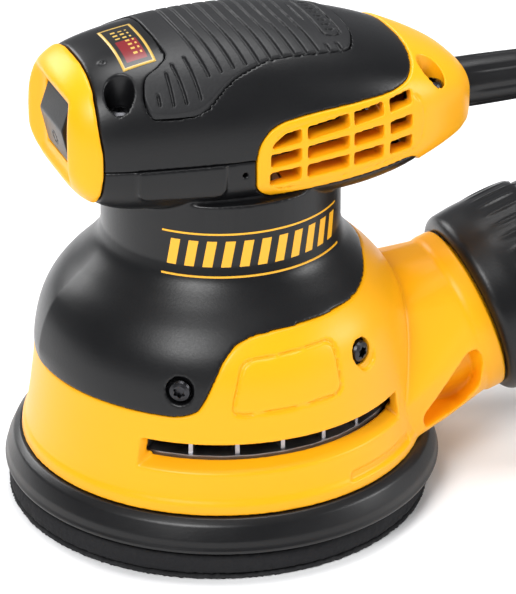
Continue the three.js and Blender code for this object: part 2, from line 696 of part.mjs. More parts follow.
// Motor, fixed half
add('field_core', makeFieldCore(), 'steel');
add('upper_bearing_bracket', makeUpperBracket(), 'black');
add('upper_bearing_outer', bearingOuter(11, 122.6, 128.8), 'steel');
add('lower_bearing_outer', bearingOuter(13, 46, 54), 'steel');
for (const [sideName, side] of [['right', -1], ['left', 1]]) {
  add(`field_coil_${sideName}`, makeFieldCoil(side), 'copper');
  add(`brush_holder_${sideName}`, makeBrushHolder(side), 'brass');
  add(`carbon_brush_${sideName}`, makeBrush(side), 'carbon');
  add(`brush_spring_${sideName}`, makeBrushSpring(side), 'steel');
}

// Armature
add('armature_shaft', join(disc(4, 26, 129.6, 16), disc(6.7, 46, 54, 20)), 'steel');
add('armature_core', makeArmatureCore(), 'steel');
add('armature_winding', makeWinding(), 'copper');
add('commutator', ring(11, 4.3, 102, 116, 24), 'copper');
add('upper_bearing_inner', bearingInner(4.3, 122.6, 128.8), 'steel');
add('cooling_fan', makeFan(), 'aluminium');
add('eccentric_hub', makeHub(), 'steel');
add('counterweight', makeCounterweight(), 'steel');
add('pad_bearing_outer', bearingOuter(13, 17, 25.2).translate(-orbit, 0, 0), 'steel');

// Pad
add('pad_bearing_inner', bearingInner(5.4, 17, 25.2).translate(-orbit, 0, 0), 'steel');
add('pad_spindle', makeSpindle(), 'steel');
add('backing_plate', padLayer(57, 9.5, 12.5, 2.1), 'black');
add('foam_pad', cut(
  padLayer(padRadius, 1.5, foamTop, 4.4), ring(70, 57.4, foamRim, 12, 48).translate(-orbit, 0, 0),
), 'foam');
add('hook_face', padLayer(padRadius - 0.3, 0, 1.2, 4.4), 'fabric');
for (const i of [0, 1, 2]) {
  const angle = radians(60 + 120 * i);
  const form = screwForm(3.3, [0, 2.2], 1.8, -5.6);
  const matrix = new THREE.Matrix4()
    .makeTranslation(11.5 * Math.cos(angle) - orbit, 11.5 * Math.sin(angle), 9.2)
    .multiply(new THREE.Matrix4().makeRotationX(Math.PI));
  add(`pad_screw_${i + 1}`, placed(form, matrix), 'steel');
}

// Dust bag
add('bag_seal_ring', onPort(ring(22.6, 20.4, 3, 17.4, 28)), 'rubber');
add('bag_collar', makeCollar(), 'black');
add('bag_pouch', makePouch(), 'fabric');
add('bag_clip', makeBagClip(), 'black');

// Cord
add('cord_protector', makeProtector(), 'rubber');
add('cord_clamp', makeClamp(), 'black');
add('power_cord', tube(toVectors(leadRoute), cordRadius, 10, 26), 'rubber');
add('cord_coil',
  ring(coilRadii[1], coilRadii[0], ...coilHeights, 36).translate(coilCentre.x, coilCentre.y, 0), 'rubber');
add('coil_tie', makeTie(), 'black');
add('power_cord_tail', tube(toVectors(tailRoute), cordRadius, 10, 5), 'rubber');
add('plug_body', makePlug(), 'rubber');
for (const side of [-1, 1]) add(`plug_blade_${side < 0 ? 1 : 2}`, bladeBox(side, 0, 0), 'brass');

export default sander;
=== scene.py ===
import json
import math

import bmesh
import bpy
import numpy as np
from mathutils import Matrix, Vector

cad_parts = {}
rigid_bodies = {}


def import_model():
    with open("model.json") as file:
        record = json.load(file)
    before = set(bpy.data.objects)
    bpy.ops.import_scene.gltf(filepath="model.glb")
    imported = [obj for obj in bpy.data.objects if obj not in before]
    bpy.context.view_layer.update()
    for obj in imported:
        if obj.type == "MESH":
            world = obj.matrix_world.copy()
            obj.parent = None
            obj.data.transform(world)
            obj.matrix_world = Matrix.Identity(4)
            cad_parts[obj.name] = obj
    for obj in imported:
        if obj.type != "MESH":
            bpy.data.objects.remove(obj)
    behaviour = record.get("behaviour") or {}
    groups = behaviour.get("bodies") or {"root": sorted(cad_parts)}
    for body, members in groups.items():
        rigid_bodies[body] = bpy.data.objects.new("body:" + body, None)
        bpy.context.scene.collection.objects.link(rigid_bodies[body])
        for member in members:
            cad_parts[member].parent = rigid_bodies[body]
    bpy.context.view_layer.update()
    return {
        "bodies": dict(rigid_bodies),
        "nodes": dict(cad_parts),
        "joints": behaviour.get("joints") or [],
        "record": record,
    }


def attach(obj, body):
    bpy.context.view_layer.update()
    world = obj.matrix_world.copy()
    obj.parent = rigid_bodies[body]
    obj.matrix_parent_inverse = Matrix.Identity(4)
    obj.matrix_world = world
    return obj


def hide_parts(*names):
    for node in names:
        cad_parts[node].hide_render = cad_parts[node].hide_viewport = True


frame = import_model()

scene = bpy.context.scene
mm = 0.001  # shapes are drawn in millimetres and settle in metres


def linked(name, data):  # an object in the scene round its data
    piece = bpy.data.objects.new(name, data)
    scene.collection.objects.link(piece)
    return piece


cameraPlan = {
    "place": (-0.278, -0.765, 0.459), "aim": (0.0075, -0.0101, 0.0604),
    "lens": 191.8, "sensor": 36, "near": 0.01, "far": 20,
}


def makeCamera():
    data = bpy.data.cameras.new("camera")
    data.lens, data.sensor_width = cameraPlan["lens"], cameraPlan["sensor"]
    data.clip_start, data.clip_end = cameraPlan["near"], cameraPlan["far"]
    camera = linked("camera", data)
    camera.location = cameraPlan["place"]
    look = Vector(cameraPlan["aim"]) - camera.location
    camera.rotation_euler = look.to_track_quat("-Z", "Y").to_euler()
    scene.camera = camera


lampPlans = {  # place, aim, size, watts
    "key": ((-0.75, -0.75, 1.05), (0, 0, 0.07), 0.7, 17.0),
    "side": ((1.15, -0.55, 0.55), (0.03, 0, 0.07), 0.5, 7.0),
    "top": ((0.15, 0.25, 1.3), (0, 0, 0.1), 0.8, 13.0),
    "back": ((-0.5, 1.1, 0.7), (0, 0, 0.08), 0.7, 8.0),
}
skyPlan = {"colour": (0.93, 0.95, 1.0, 1), "strength": 0.28}


def makeLights():
    for name, (place, aim, size, watts) in lampPlans.items():
        data = bpy.data.lights.new(name, "AREA")
        data.shape = "DISK"
        data.size, data.energy = size, watts
        lamp = linked(name, data)
        lamp.location = place
        lamp.rotation_euler = (Vector(aim) - lamp.location).to_track_quat("-Z", "Y").to_euler()
    world = bpy.data.worlds.new("studio")
    world.use_nodes = True
    background = world.node_tree.nodes["Background"]
    background.inputs["Color"].default_value = skyPlan["colour"]
    background.inputs["Strength"].default_value = skyPlan["strength"]
    scene.world = world
    scene.view_settings.view_transform = "Standard"


makeCamera()
makeLights()
print("camera and lights are set")


def newPiece(name, points, faces):
    mesh = bpy.data.meshes.new(name)
    mesh.from_pydata([tuple(p) for p in points], [], faces)
    form = bmesh.new()
    form.from_mesh(mesh)
    bmesh.ops.remove_doubles(form, verts=form.verts, dist=1e-4)
    bmesh.ops.recalc_face_normals(form, faces=form.faces)
    form.to_mesh(mesh)
    form.free()
    return linked(name, mesh)


def applied(piece):
    evaluated = piece.evaluated_get(bpy.context.evaluated_depsgraph_get())
    mesh = bpy.data.meshes.new_from_object(evaluated)
    piece.modifiers.clear()
    piece.data = mesh
    return piece


def carved(piece, cutters, operation="DIFFERENCE", keep=()):
    for cutter in cutters:
        step = piece.modifiers.new("carve", "BOOLEAN")
        step.operation, step.object, step.solver = operation, cutter, "MANIFOLD"
        applied(piece)
        if cutter not in keep:
            bpy.data.objects.remove(cutter)
    return piece


def joined(piece, others):
    return carved(piece, others, "UNION")


def kept(piece, others):
    return carved(piece, others, "INTERSECT")


def thinned(piece, share):
    step = piece.modifiers.new("thin", "DECIMATE")
    step.ratio = share


def softened(piece, voxel=0.5, passes=4, share=1.0):  # one skin with eased edges
    step = piece.modifiers.new("skin", "REMESH")
    step.mode, step.voxel_size, step.use_smooth_shade = "VOXEL", voxel, True
    step = piece.modifiers.new("ease", "SMOOTH")
    step.factor, step.iterations = 0.5, passes
    if share < 1:
        thinned(piece, share)
    return applied(piece)


def spun(name, profile, sides=128, swell=None):  # a closed profile turned about Z
    count = len(profile)
    points, faces = [], []
    for k in range(sides):
        angle = 2 * math.pi * k / sides
        for r, z in profile:
            out = r + (swell(angle, z) if swell and r > 0 else 0)
            points.append((out * math.cos(angle), out * math.sin(angle), z))
    for k in range(sides):
        for i in range(count):
            j = (i + 1) % count
            a, b = k * count, (k + 1) % sides * count
            if profile[i][0] > 0 or profile[j][0] > 0:
                faces.append([a + i, b + i, b + j, a + j])
    return newPiece(name, points, faces)


def smoothLine(points, steps=6):  # Catmull-Rom through every point
    line = np.array(points, float)
    ends = np.vstack([2 * line[0] - line[1], line, 2 * line[-1] - line[-2]])
    out = []
    for i in range(1, len(ends) - 2):
        p0, p1, p2, p3 = ends[i - 1 : i + 3]
        for s in range(steps):
            t = s / steps
            out.append(
                0.5 * (2 * p1 + (p2 - p0) * t + (2 * p0 - 5 * p1 + 4 * p2 - p3) * t**2
                + (3 * p1 - p0 - 3 * p2 + p3) * t**3)
            )
    return [tuple(p) for p in out] + [tuple(line[-1])]


def roundedOutline(points, radius, steps=5):
    out, count = [], len(points)
    for i in range(count):
        before, corner, after = (Vector(points[j % count]) for j in (i - 1, i, i + 1))
        a, b = before - corner, after - corner
        cut = min(radius, 0.45 * a.length, 0.45 * b.length)
        start, end = corner + a.normalized() * cut, corner + b.normalized() * cut
        for s in range(steps + 1):
            t = s / steps
            out.append(tuple(start * (1 - t) ** 2 + corner * 2 * t * (1 - t) + end * t**2))
    return out


def prism(name, outline, low, high, along="Z"):  # outline in XY, or in XZ along Y, or in YZ along X
    place = {
        "Z": lambda u, v, w: (u, v, w), "Y": lambda u, v, w: (u, w, v), "X": lambda u, v, w: (w, u, v),
    }[along]
    count = len(outline)
    points = [place(u, v, w) for w in (low, high) for u, v in outline]
    sides = [[i, (i + 1) % count, (i + 1) % count + count, i + count] for i in range(count)]
    return newPiece(name, points, [list(range(count)), list(range(count, 2 * count)), *sides])


def slab(name, low, high):  # a level block wider than the handle
    return prism(name, [(-80, -50), (100, -50), (100, 50), (-80, 50)], low, high)


def ringFaces(rows, around):  # quads between rows of points that each run round a closed section
    quads = []
    for start in range(0, rows * around, around):
        for i in range(around):
            a, b = start + i, start + (i + 1) % around
            quads.append([a, b, b + around, a + around])
    return quads


def tubeFaces(rows, around):  # the same with both ends closed
    return [*ringFaces(rows, around), list(range(around)), list(range(rows * around, (rows + 1) * around))]


def onRing(radius, degrees):
    return (radius * math.cos(math.radians(degrees)), radius * math.sin(math.radians(degrees)))


def turned(piece, matrix):
    piece.data.transform(matrix)
    if matrix.determinant() < 0:
        piece.data.flip_normals()
    return piece


def hullOf(name, points):
    form = bmesh.new()
    for p in points:
        form.verts.new(p)
    result = bmesh.ops.convex_hull(form, input=form.verts)
    bmesh.ops.delete(form, geom=result["geom_interior"], context="VERTS")
    mesh = bpy.data.meshes.new(name)
    form.to_mesh(mesh)
    form.free()
    return linked(name, mesh)


def unwrapped(piece, place):  # lays the weave on a piece by a rule for each of its points
    layer = piece.data.uv_layers.new(name="weave")
    for loop in piece.data.loops:
        layer.data[loop.index].uv = place(*piece.data.vertices[loop.vertex_index].co)
    return piece


def settled(piece, body, material, slot, *stoodFor, smooth=True):  # to metres, and onto its body
    piece.data.transform(Matrix.Scale(mm, 4))
    piece.data.materials.clear()
    piece.data.materials.append(material)
    piece.data.polygons.foreach_set("use_smooth", [smooth] * len(piece.data.polygons))
    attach(piece, body)
    if stoodFor:
        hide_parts(*stoodFor)
    return piece


def newGroup(name, inputs, outputs):
    tree = bpy.data.node_groups.new(name, "ShaderNodeTree")
    kinds = {"float": "NodeSocketFloat", "colour": "NodeSocketColor", "vector": "NodeSocketVector"}
    for label, kind, value in inputs:
        tree.interface.new_socket(label, in_out="INPUT", socket_type=kinds[kind]).default_value = value
    for label, kind in outputs:
        tree.interface.new_socket(label, in_out="OUTPUT", socket_type=kinds[kind])
    return tree, tree.nodes.new("NodeGroupInput"), tree.nodes.new("NodeGroupOutput")


def setSockets(tree, node, values):
    for socket, value in values.items():
        if isinstance(value, bpy.types.NodeSocket):
            tree.links.new(value, node.inputs[socket])
        else:
            node.inputs[socket].default_value = value
    return node


def addNode(tree, kind, values=None, **settings):
    node = tree.nodes.new(kind)
    for name, value in settings.items():
        setattr(node, name, value)
    return setSockets(tree, node, values or {})


def mathNode(tree, operation, *values):
    return addNode(tree, "ShaderNodeMath", dict(enumerate(values)), operation=operation).outputs[0]


def times(tree, first, second):
    return mathNode(tree, "MULTIPLY", first, second)


def plus(tree, first, second):
    return mathNode(tree, "ADD", first, second)


def centred(tree, value):
    return mathNode(tree, "SUBTRACT", value, 0.5)


def mixNode(tree, factor, first, second):
    node = addNode(tree, "ShaderNodeMix", data_type="RGBA")
    return setSockets(tree, node, {0: factor, 6: first, 7: second}).outputs[2]


def noise(tree, place, scale, detail):
    texture = addNode(tree, "ShaderNodeTexNoise", {"Vector": place, "Scale": scale, "Detail": detail})
    return texture.outputs["Fac"]


def between(tree, value, low, high):
    return addNode(tree, "ShaderNodeMapRange", {"Value": value, "From Min": low, "From Max": high}).outputs[0]


def bumped(tree, height, strength, distance):
    bump = addNode(tree, "ShaderNodeBump", {"Height": height, "Strength": strength, "Distance": distance})
    return bump.outputs["Normal"]


def onPiece(tree, kind="Object"):
    return addNode(tree, "ShaderNodeTexCoord").outputs[kind]


def finished(tree, result, outputs):
    setSockets(tree, result, outputs)
    return tree


finishOutputs = [("Colour", "colour"), ("Roughness", "float"), ("Normal", "vector")]


def makeMouldedGrain():  # fine spark-eroded grain with slow colour and gloss variation
    tree, given, result = newGroup(
        "mouldedGrain",
        [("Colour", "colour", (0.5, 0.5, 0.5, 1)), ("Scale", "float", 1500.0), ("Depth", "float", 0.1),
         ("Roughness", "float", 0.4), ("Variation", "float", 0.05)],
        finishOutputs,
    )
    place = onPiece(tree)
    grain = noise(tree, place, given.outputs["Scale"], 3.0)
    drift = times(tree, centred(tree, noise(tree, place, 28.0, 4.0)), given.outputs["Variation"])
    bright = plus(tree, 1.0, times(tree, drift, 2.0))
    shade = addNode(tree, "ShaderNodeHueSaturation", {"Color": given.outputs["Colour"], "Value": bright})
    rough = plus(tree, given.outputs["Roughness"], times(tree, drift, 1.5))
    return finished(tree, result, {
        "Colour": shade.outputs["Color"],
        "Roughness": plus(tree, rough, times(tree, centred(tree, grain), 0.12)),
        "Normal": bumped(tree, grain, given.outputs["Depth"], 0.0002),
    })


def makeEdgeWear():  # a lighter rub along raised edges
    tree, given, result = newGroup(
        "edgeWear",
        [("Colour", "colour", (0.5, 0.5, 0.5, 1)), ("Worn", "colour", (0.7, 0.7, 0.7, 1)),
         ("Amount", "float", 0.4)],
        [("Colour", "colour"), ("Mask", "float")],
    )
    point = addNode(tree, "ShaderNodeNewGeometry").outputs["Pointiness"]
    broken = between(tree, noise(tree, onPiece(tree), 160.0, 5.0), 0.35, 0.65)
    mask = times(tree, times(tree, between(tree, point, 0.52, 0.6), broken), given.outputs["Amount"])
    return finished(tree, result, {
        "Colour": mixNode(tree, mask, given.outputs["Colour"], given.outputs["Worn"]), "Mask": mask,
    })


def makeClothWeave():  # plain weave along the piece's own unwrapping
    tree, given, result = newGroup(
        "clothWeave",
        [("Warp", "colour", (0.1, 0.1, 0.1, 1)), ("Weft", "colour", (0.05, 0.05, 0.05, 1)),
         ("Pitch", "float", 0.0008), ("Depth", "float", 0.6)],
        finishOutputs,
    )
    turn = mathNode(tree, "DIVIDE", 2 * math.pi, given.outputs["Pitch"])
    parts = addNode(tree, "ShaderNodeSeparateXYZ", {"Vector": onPiece(tree, "UV")})
    across, along = (mathNode(tree, "SINE", times(tree, parts.outputs[axis], turn)) for axis in ("X", "Y"))
    over = times(tree, across, along)
    lift = plus(tree, times(tree, mathNode(tree, "ABSOLUTE", over), 0.5), 0.5)
    mask = plus(tree, times(tree, over, 0.5), 0.5)
    return finished(tree, result, {
        "Colour": mixNode(tree, mask, given.outputs["Warp"], given.outputs["Weft"]),
        "Roughness": plus(tree, 0.68, times(tree, noise(tree, onPiece(tree), 900.0, 4.0), 0.3)),
        "Normal": bumped(tree, lift, given.outputs["Depth"], 0.0004),
    })


def makeTurnedMetal():  # fine lathe or brush lines, with tarnish
    tree, given, result = newGroup(
        "turnedMetal",
        [("Colour", "colour", (0.6, 0.6, 0.6, 1)), ("Dull", "colour", (0.3, 0.3, 0.3, 1)),
         ("Roughness", "float", 0.3), ("Depth", "float", 0.2)],
        finishOutputs,
    )
    place = onPiece(tree)
    squeezed = addNode(tree, "ShaderNodeMapping", {"Vector": place, "Scale": (120.0, 120.0, 3500.0)})
    lines = noise(tree, squeezed.outputs[0], 1.0, 4.0)
    tarnish = between(tree, noise(tree, place, 90.0, 6.0), 0.45, 0.75)
    return finished(tree, result, {
        "Colour": mixNode(tree, tarnish, given.outputs["Colour"], given.outputs["Dull"]),
        "Roughness": plus(tree, given.outputs["Roughness"], times(tree, centred(tree, lines), 0.3)),
        "Normal": bumped(tree, lines, given.outputs["Depth"], 0.0001),
    })


groups = {
    "mouldedGrain": makeMouldedGrain(), "edgeWear": makeEdgeWear(), "clothWeave": makeClothWeave(),
    "turnedMetal": makeTurnedMetal(),
}


def addGroup(tree, name, values):
    node = tree.nodes.new("ShaderNodeGroup")
    node.node_tree = groups[name]
    return setSockets(tree, node, values)


def newMaterial(name, **shaderValues):
    material = bpy.data.materials.new(name)
    material.use_nodes = True
    tree = material.node_tree
    shader = tree.nodes["Principled BSDF"]
    for label, value in shaderValues.items():
        shader.inputs[label.replace("_", " ")].default_value = value
    return material, tree, shader


def linkFinish(tree, shader, group, colour=None):
    tree.links.new(colour or group.outputs["Colour"], shader.inputs["Base Color"])
    tree.links.new(group.outputs["Roughness"], shader.inputs["Roughness"])
    tree.links.new(group.outputs["Normal"], shader.inputs["Normal"])


def plastic(name, colour, worn, roughness, depth, scale=1500.0, variation=0.04, wear=0.25, **shaderValues):
    material, tree, shader = newMaterial(name, **shaderValues)
    grain = addGroup(tree, "mouldedGrain", {
        "Colour": (*colour, 1), "Scale": scale, "Depth": depth, "Roughness": roughness,
        "Variation": variation,
    })
    edge = addGroup(tree, "edgeWear", {"Colour": grain.outputs["Colour"], "Worn": (*worn, 1), "Amount": wear})
    linkFinish(tree, shader, grain, edge.outputs["Colour"])
    return material


def metal(name, colour, dull, roughness, depth=0.2):
    material, tree, shader = newMaterial(name, Metallic=1.0)
    linkFinish(tree, shader, addGroup(tree, "turnedMetal", {
        "Colour": (*colour, 1), "Dull": (*dull, 1), "Roughness": roughness, "Depth": depth,
    }))
    return material


def cloth(name, warp, weft, pitch, depth=0.6):
    material, tree, shader = newMaterial(name, Sheen_Weight=0.25)
    linkFinish(tree, shader, addGroup(tree, "clothWeave", {
        "Warp": (*warp, 1), "Weft": (*weft, 1), "Pitch": pitch, "Depth": depth,
    }))
    return material


yellowPlastic = plastic(
    "yellowPlastic", (0.93, 0.41, 0.004), (1.0, 0.58, 0.08), 0.36, 0.06, wear=0.15, Specular_IOR_Level=0.3)
blackPlastic = plastic(
    "blackPlastic", (0.0045, 0.0046, 0.0052), (0.02, 0.02, 0.022), 0.34, 0.1, variation=0.2,
    Specular_IOR_Level=0.34)
gripRubber = plastic(
    "gripRubber", (0.009, 0.0092, 0.0102), (0.03, 0.03, 0.032), 0.5, 0.3, 1100.0, 0.2, Specular_IOR_Level=0.4)
blackRubber = plastic(
    "blackRubber", (0.004, 0.004, 0.0046), (0.014, 0.014, 0.015), 0.36, 0.1, variation=0.2,
    Specular_IOR_Level=0.4)
cordRubber = plastic(
    "cordRubber", (0.006, 0.006, 0.007), (0.02, 0.02, 0.02), 0.36, 0.08, 900.0, 0.2, 0.1,
    Specular_IOR_Level=0.4)
padFoam = plastic(
    "padFoam", (0.012, 0.012, 0.0135), (0.035, 0.035, 0.035), 0.9, 1.0, 1100.0, 0.4, 0.4,
    Specular_IOR_Level=0.3)
hookFabric = plastic(
    "hookFabric", (0.016, 0.016, 0.0175), (0.06, 0.06, 0.06), 0.95, 1.0, 1600.0, 0.5, 0.5,
    Specular_IOR_Level=0.3)
graphite = plastic("graphite", (0.035, 0.035, 0.04), (0.2, 0.2, 0.2), 0.5, 0.3)
steelBright = metal("steelBright", (0.62, 0.63, 0.65), (0.4, 0.4, 0.42), 0.28)
steelBlack = metal("steelBlack", (0.05, 0.05, 0.054), (0.015, 0.015, 0.016), 0.32)
castAluminium = metal("castAluminium", (0.5, 0.5, 0.52), (0.3, 0.3, 0.31), 0.42, 0.3)
copperWire = metal("copperWire", (0.72, 0.33, 0.16), (0.4, 0.17, 0.08), 0.32, 0.5)
brassPlate = metal("brassPlate", (0.85, 0.62, 0.28), (0.5, 0.35, 0.15), 0.28)
bagCloth = cloth("bagCloth", (0.014, 0.014, 0.0155), (0.007, 0.007, 0.0078), 0.0009)
tieCloth = cloth("tieCloth", (0.024, 0.024, 0.026), (0.014, 0.014, 0.015), 0.0006)
print("materials are made")

cordPlan = {
    "thickness": 7.0, "length": 2.1,
    "lead": [
        (128.3, 0, 113), (134, 0, 113), (145.4, 0.9, 111.7), (156, 3.8, 107.6), (164, 8.8, 100.6),
        (168.4, 15.8, 91), (168.8, 24, 80), (166.2, 32, 68.6), (162, 39.4, 57.6), (157.2, 46.6, 47.4),
        (152.2, 54.4, 38.4), (148.8, 64.2, 31.4), (149.1, 75, 26.8), (153.8, 86.2, 24.3),
    ],
    "coilCentre": (186, 66),
    # each turn's radius and height, and how it swells while it moves on to the next one
    "turns": [
        (38.5, 23.6), (34, 16.8), (41, 16.8), (48, 16.8), (44.5, 10.7), (37.5, 10.7), (34, 4.6), (41, 4.6),
        (48, 4.6),
    ],
    "swells": [(0, 0), (0, 0.5), (0, 0.5), (5, -1), (0, 0), (-1, 0.5), (0, 0), (0, 0)],
    "moveFrom": 146, "moveTo": 34, "tieAngle": 0,
    "tail": [(233.6, 51, 4.6), (233.5, 39, 4.6), (233.5, 33, 4.6), (233.5, 27, 4.7), (233.5, 22, 4.8)],
}


def coilPoint(angle, radius, height):
    x, y = cordPlan["coilCentre"]
    turn = math.radians(angle)
    return (x + radius * math.cos(turn), y + radius * math.sin(turn), height)


def cordRoute():
    route, turns = list(cordPlan["lead"]), cordPlan["turns"]
    start, stop, steps = cordPlan["moveFrom"], cordPlan["moveTo"], 8
    for i, (swell, rise) in enumerate(cordPlan["swells"]):
        (radius, height), (nextRadius, nextHeight) = turns[i], turns[i + 1]
        for k in range(1, steps):  # moving to the next turn
            t = k / steps
            eased, bump = t * t * (3 - 2 * t), math.sin(math.pi * t) ** 2
            route.append(coilPoint(
                start + (stop - start) * t, radius + (nextRadius - radius) * eased + swell * bump,
                height + (nextHeight - height) * eased + rise * bump,
            ))
        last = i == len(cordPlan["swells"]) - 1
        end = cordPlan["tieAngle"] + 4 if last else start - 360
        count = max(2, round((stop - end) / 18))
        step = (end - stop) / count
        route += [coilPoint(stop + step * k, nextRadius, nextHeight) for k in range(count + 1)]
    return route + cordPlan["tail"]


def makeCord():
    curve = bpy.data.curves.new("power_cord_line", "CURVE")
    curve.dimensions, curve.bevel_depth, curve.bevel_resolution = "3D", cordPlan["thickness"] / 2 * mm, 5
    curve.use_fill_caps = True
    line = smoothLine(cordRoute(), 4)
    spline = curve.splines.new("POLY")
    spline.points.add(len(line) - 1)
    for point, place in zip(spline.points, line):
        point.co = (*[c * mm for c in place], 1)
    cord = linked("power_cord_line", curve)
    curve.materials.append(cordRubber)
    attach(cord, "housing")
    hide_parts("power_cord", "cord_coil", "power_cord_tail")
    spread = np.diff(np.array(line), axis=0)
    print("cord length", round(float(np.linalg.norm(spread, axis=1).sum()) * mm, 3))
    return cord


plugPlan = {
    "place": (233.5, -0.4, 0), "height": (0.6, 13), "easing": 3,
    "outline": [
        (-4.6, 22), (4.6, 22), (5.4, 14), (9, 6), (9.5, -2), (9.5, -12), (-9.5, -12), (-9.5, -2), (-9, 6),
        (-5.4, 14),
    ],
    "ringsAt": (11.2, 13.6, 16, 18.4), "bladesAt": (-6.35, 6.35), "cordHeight": 4.8, "cordHole": 3.75,
}


def makePlug():  # a moulded body with a flexible neck, open for its two flat blades
    body = prism("plug_shell", roundedOutline(plugPlan["outline"], plugPlan["easing"]), *plugPlan["height"])
    rings = [
        prism("ring", [(-12, y), (12, y), (12, y + 1), (-12, y + 1)], -2, 16) for y in plugPlan["ringsAt"]
    ]
    core = prism("core", roundedOutline([(-4.3, -12), (4.3, -12), (4.3, 30), (-4.3, 30)], 2), 1.7, 11.9)
    rings = [carved(ring, [core], keep=[core]) for ring in rings]
    bpy.data.objects.remove(core)
    finger = prism("finger", roundedOutline([(-6.4, -9), (6.4, -9), (5, 4), (-5, 4)], 3), 12.2, 15)
    carved(body, [*rings, finger])
    slots = [
        prism("slot", [(x - 1.05, -31), (x + 1.05, -31), (x + 1.05, -5.7), (x - 1.05, -5.7)], 3.6, 10.2)
        for x in plugPlan["bladesAt"]
    ]
    hole = plugPlan["cordHole"]
    mouth = spun("mouth", [(0, 19.6), (hole, 19.6), (hole, 30), (0, 30)], 32)
    turned(mouth, Matrix.Translation((0, 0, plugPlan["cordHeight"])) @ Matrix.Rotation(-math.pi / 2, 4, "X"))
    carved(body, [*slots, mouth])
    turned(body, Matrix.Translation(plugPlan["place"]))
    softened(body, 0.4, 3, 0.6)
    return settled(body, "housing", blackRubber, "black_rubber", "plug_body")


tiePlan = {
    "section": [(29.2, 0.3), (52.4, 0.3), (52.4, 20.9), (46, 21.6), (34, 21.6), (29.2, 20.9)],
    "flap": [(36, 21.4), (52, 20.4), (52, 21), (36.4, 22.1)], "cloth": 0.5, "half": 5, "flapHalf": 5.4,
}


def makeTie():  # a hook-and-loop strap round the bundle
    cloth, half, flapHalf = tiePlan["cloth"], tiePlan["half"], tiePlan["flapHalf"]
    section = roundedOutline(tiePlan["section"], 3.4, 8)
    inner = [(x + (cloth if x < 41 else -cloth), z + (cloth if z < 11 else -cloth)) for x, z in section]
    strap = prism("coil_strap", section, -half, half, "Y")
    carved(strap, [prism("inner", inner, -9, 9, "Y")])
    joined(strap, [prism("flap", roundedOutline(tiePlan["flap"], 0.2), -flapHalf, flapHalf, "Y")])
    turned(strap, Matrix.Translation((*cordPlan["coilCentre"], 0)))
    unwrapped(strap, lambda x, y, z: ((x + z) * mm, y * mm))
    return settled(strap, "housing", tieCloth, "tie_fabric", "coil_tie", smooth=False)


cord = makeCord()
plug = makePlug()
tie = makeTie()
print("cord, plug and tie are made")

floorPlan = {"size": 6.0, "colour": (0.93, 0.93, 0.935, 1)}


def makeFloor():
    floor = newPiece("floor", [(x, y, 0) for x, y in ((-1, -1), (1, -1), (1, 1), (-1, 1))], [[0, 1, 2, 3]])
    floor.data.transform(Matrix.Scale(floorPlan["size"] / 2, 4))
    material, tree, shader = newMaterial("paleFloor", Roughness=0.7)
    place = addNode(tree, "ShaderNodeTexCoord").outputs["Object"]
    cloud = addNode(tree, "ShaderNodeTexNoise", {"Vector": place, "Scale": 2.0})
    tint = mixNode(tree, cloud.outputs["Fac"], floorPlan["colour"], (0.95, 0.95, 0.95, 1))
    tree.links.new(tint, shader.inputs["Base Color"])
    floor.data.materials.append(material)


makeFloor()

handlePlan = {
    "stations": [  # X, half width, top, bottom
        (-51.4, 0, 121, 119), (-51, 11.6, 127.6, 113.2), (-49.8, 18, 131.8, 109.4), (-46.2, 23, 136, 103),
        (-38, 26.6, 139.4, 98.4), (-24, 29.4, 142, 97), (-8, 31.6, 143.2, 96), (10, 32.4, 142.8, 95.4),
        (28, 31.8, 140, 95.8), (42, 29.8, 136.2, 98), (53, 26.2, 132, 101.2), (62, 20.6, 127.6, 103),
        (67.5, 15.6, 123.8, 104.2), (70.8, 10, 119.8, 106), (71.4, 0, 115, 113),
    ],
    "middle": 115, "above": 2.5, "below": 4, "sides": 160,
    "wall": 2.6, "parting": 113, "gap": 0.22, "seam": 0.03, "proud": 0.45,
}
handleRows = np.array(smoothLine(handlePlan["stations"], 8))


def handleForm(name, depth=0.0):  # the whole handle, or a smaller one inside it
    first, last = handleRows[0][0], handleRows[-1][0]
    middle, shrink = (first + last) / 2, 1 - 2 * depth / (last - first)
    sides, level = handlePlan["sides"], handlePlan["middle"]
    points = []
    for x, half, top, bottom in handleRows:
        width = max(half - depth, 0.3) if half > 0.01 else 0
        for i in range(sides):
            c, s = math.cos(2 * math.pi * i / sides), math.sin(2 * math.pi * i / sides)
            power = handlePlan["above"] if s > 0 else handlePlan["below"]
            across, up = math.copysign(abs(c) ** (2 / power), c), math.copysign(abs(s) ** (2 / power), s)
            reach = max((top - level if s > 0 else level - bottom) - depth, 0.3) if width else 0
            points.append((middle + (x - middle) * shrink, width * across, level + reach * up))
    return newPiece(name, points, ringFaces(len(handleRows) - 1, sides))


def handleTop(x, y):  # height of the upper surface
    half, top = (float(np.interp(x, handleRows[:, 0], handleRows[:, k])) for k in (1, 2))
    level, power = handlePlan["middle"], handlePlan["above"]
    return level + (top - level) * max(1 - abs(y / half) ** power, 0) ** (1 / power)


def grown(points, distance):  # moves an anticlockwise outline outwards
    out, count = [], len(points)
    for i, (x, y) in enumerate(points):
        (x0, y0), (x1, y1) = points[i - 1], points[(i + 1) % count]
        length = math.hypot(x1 - x0, y1 - y0)
        out.append((x + (y1 - y0) / length * distance, y - (x1 - x0) / length * distance))
    return out


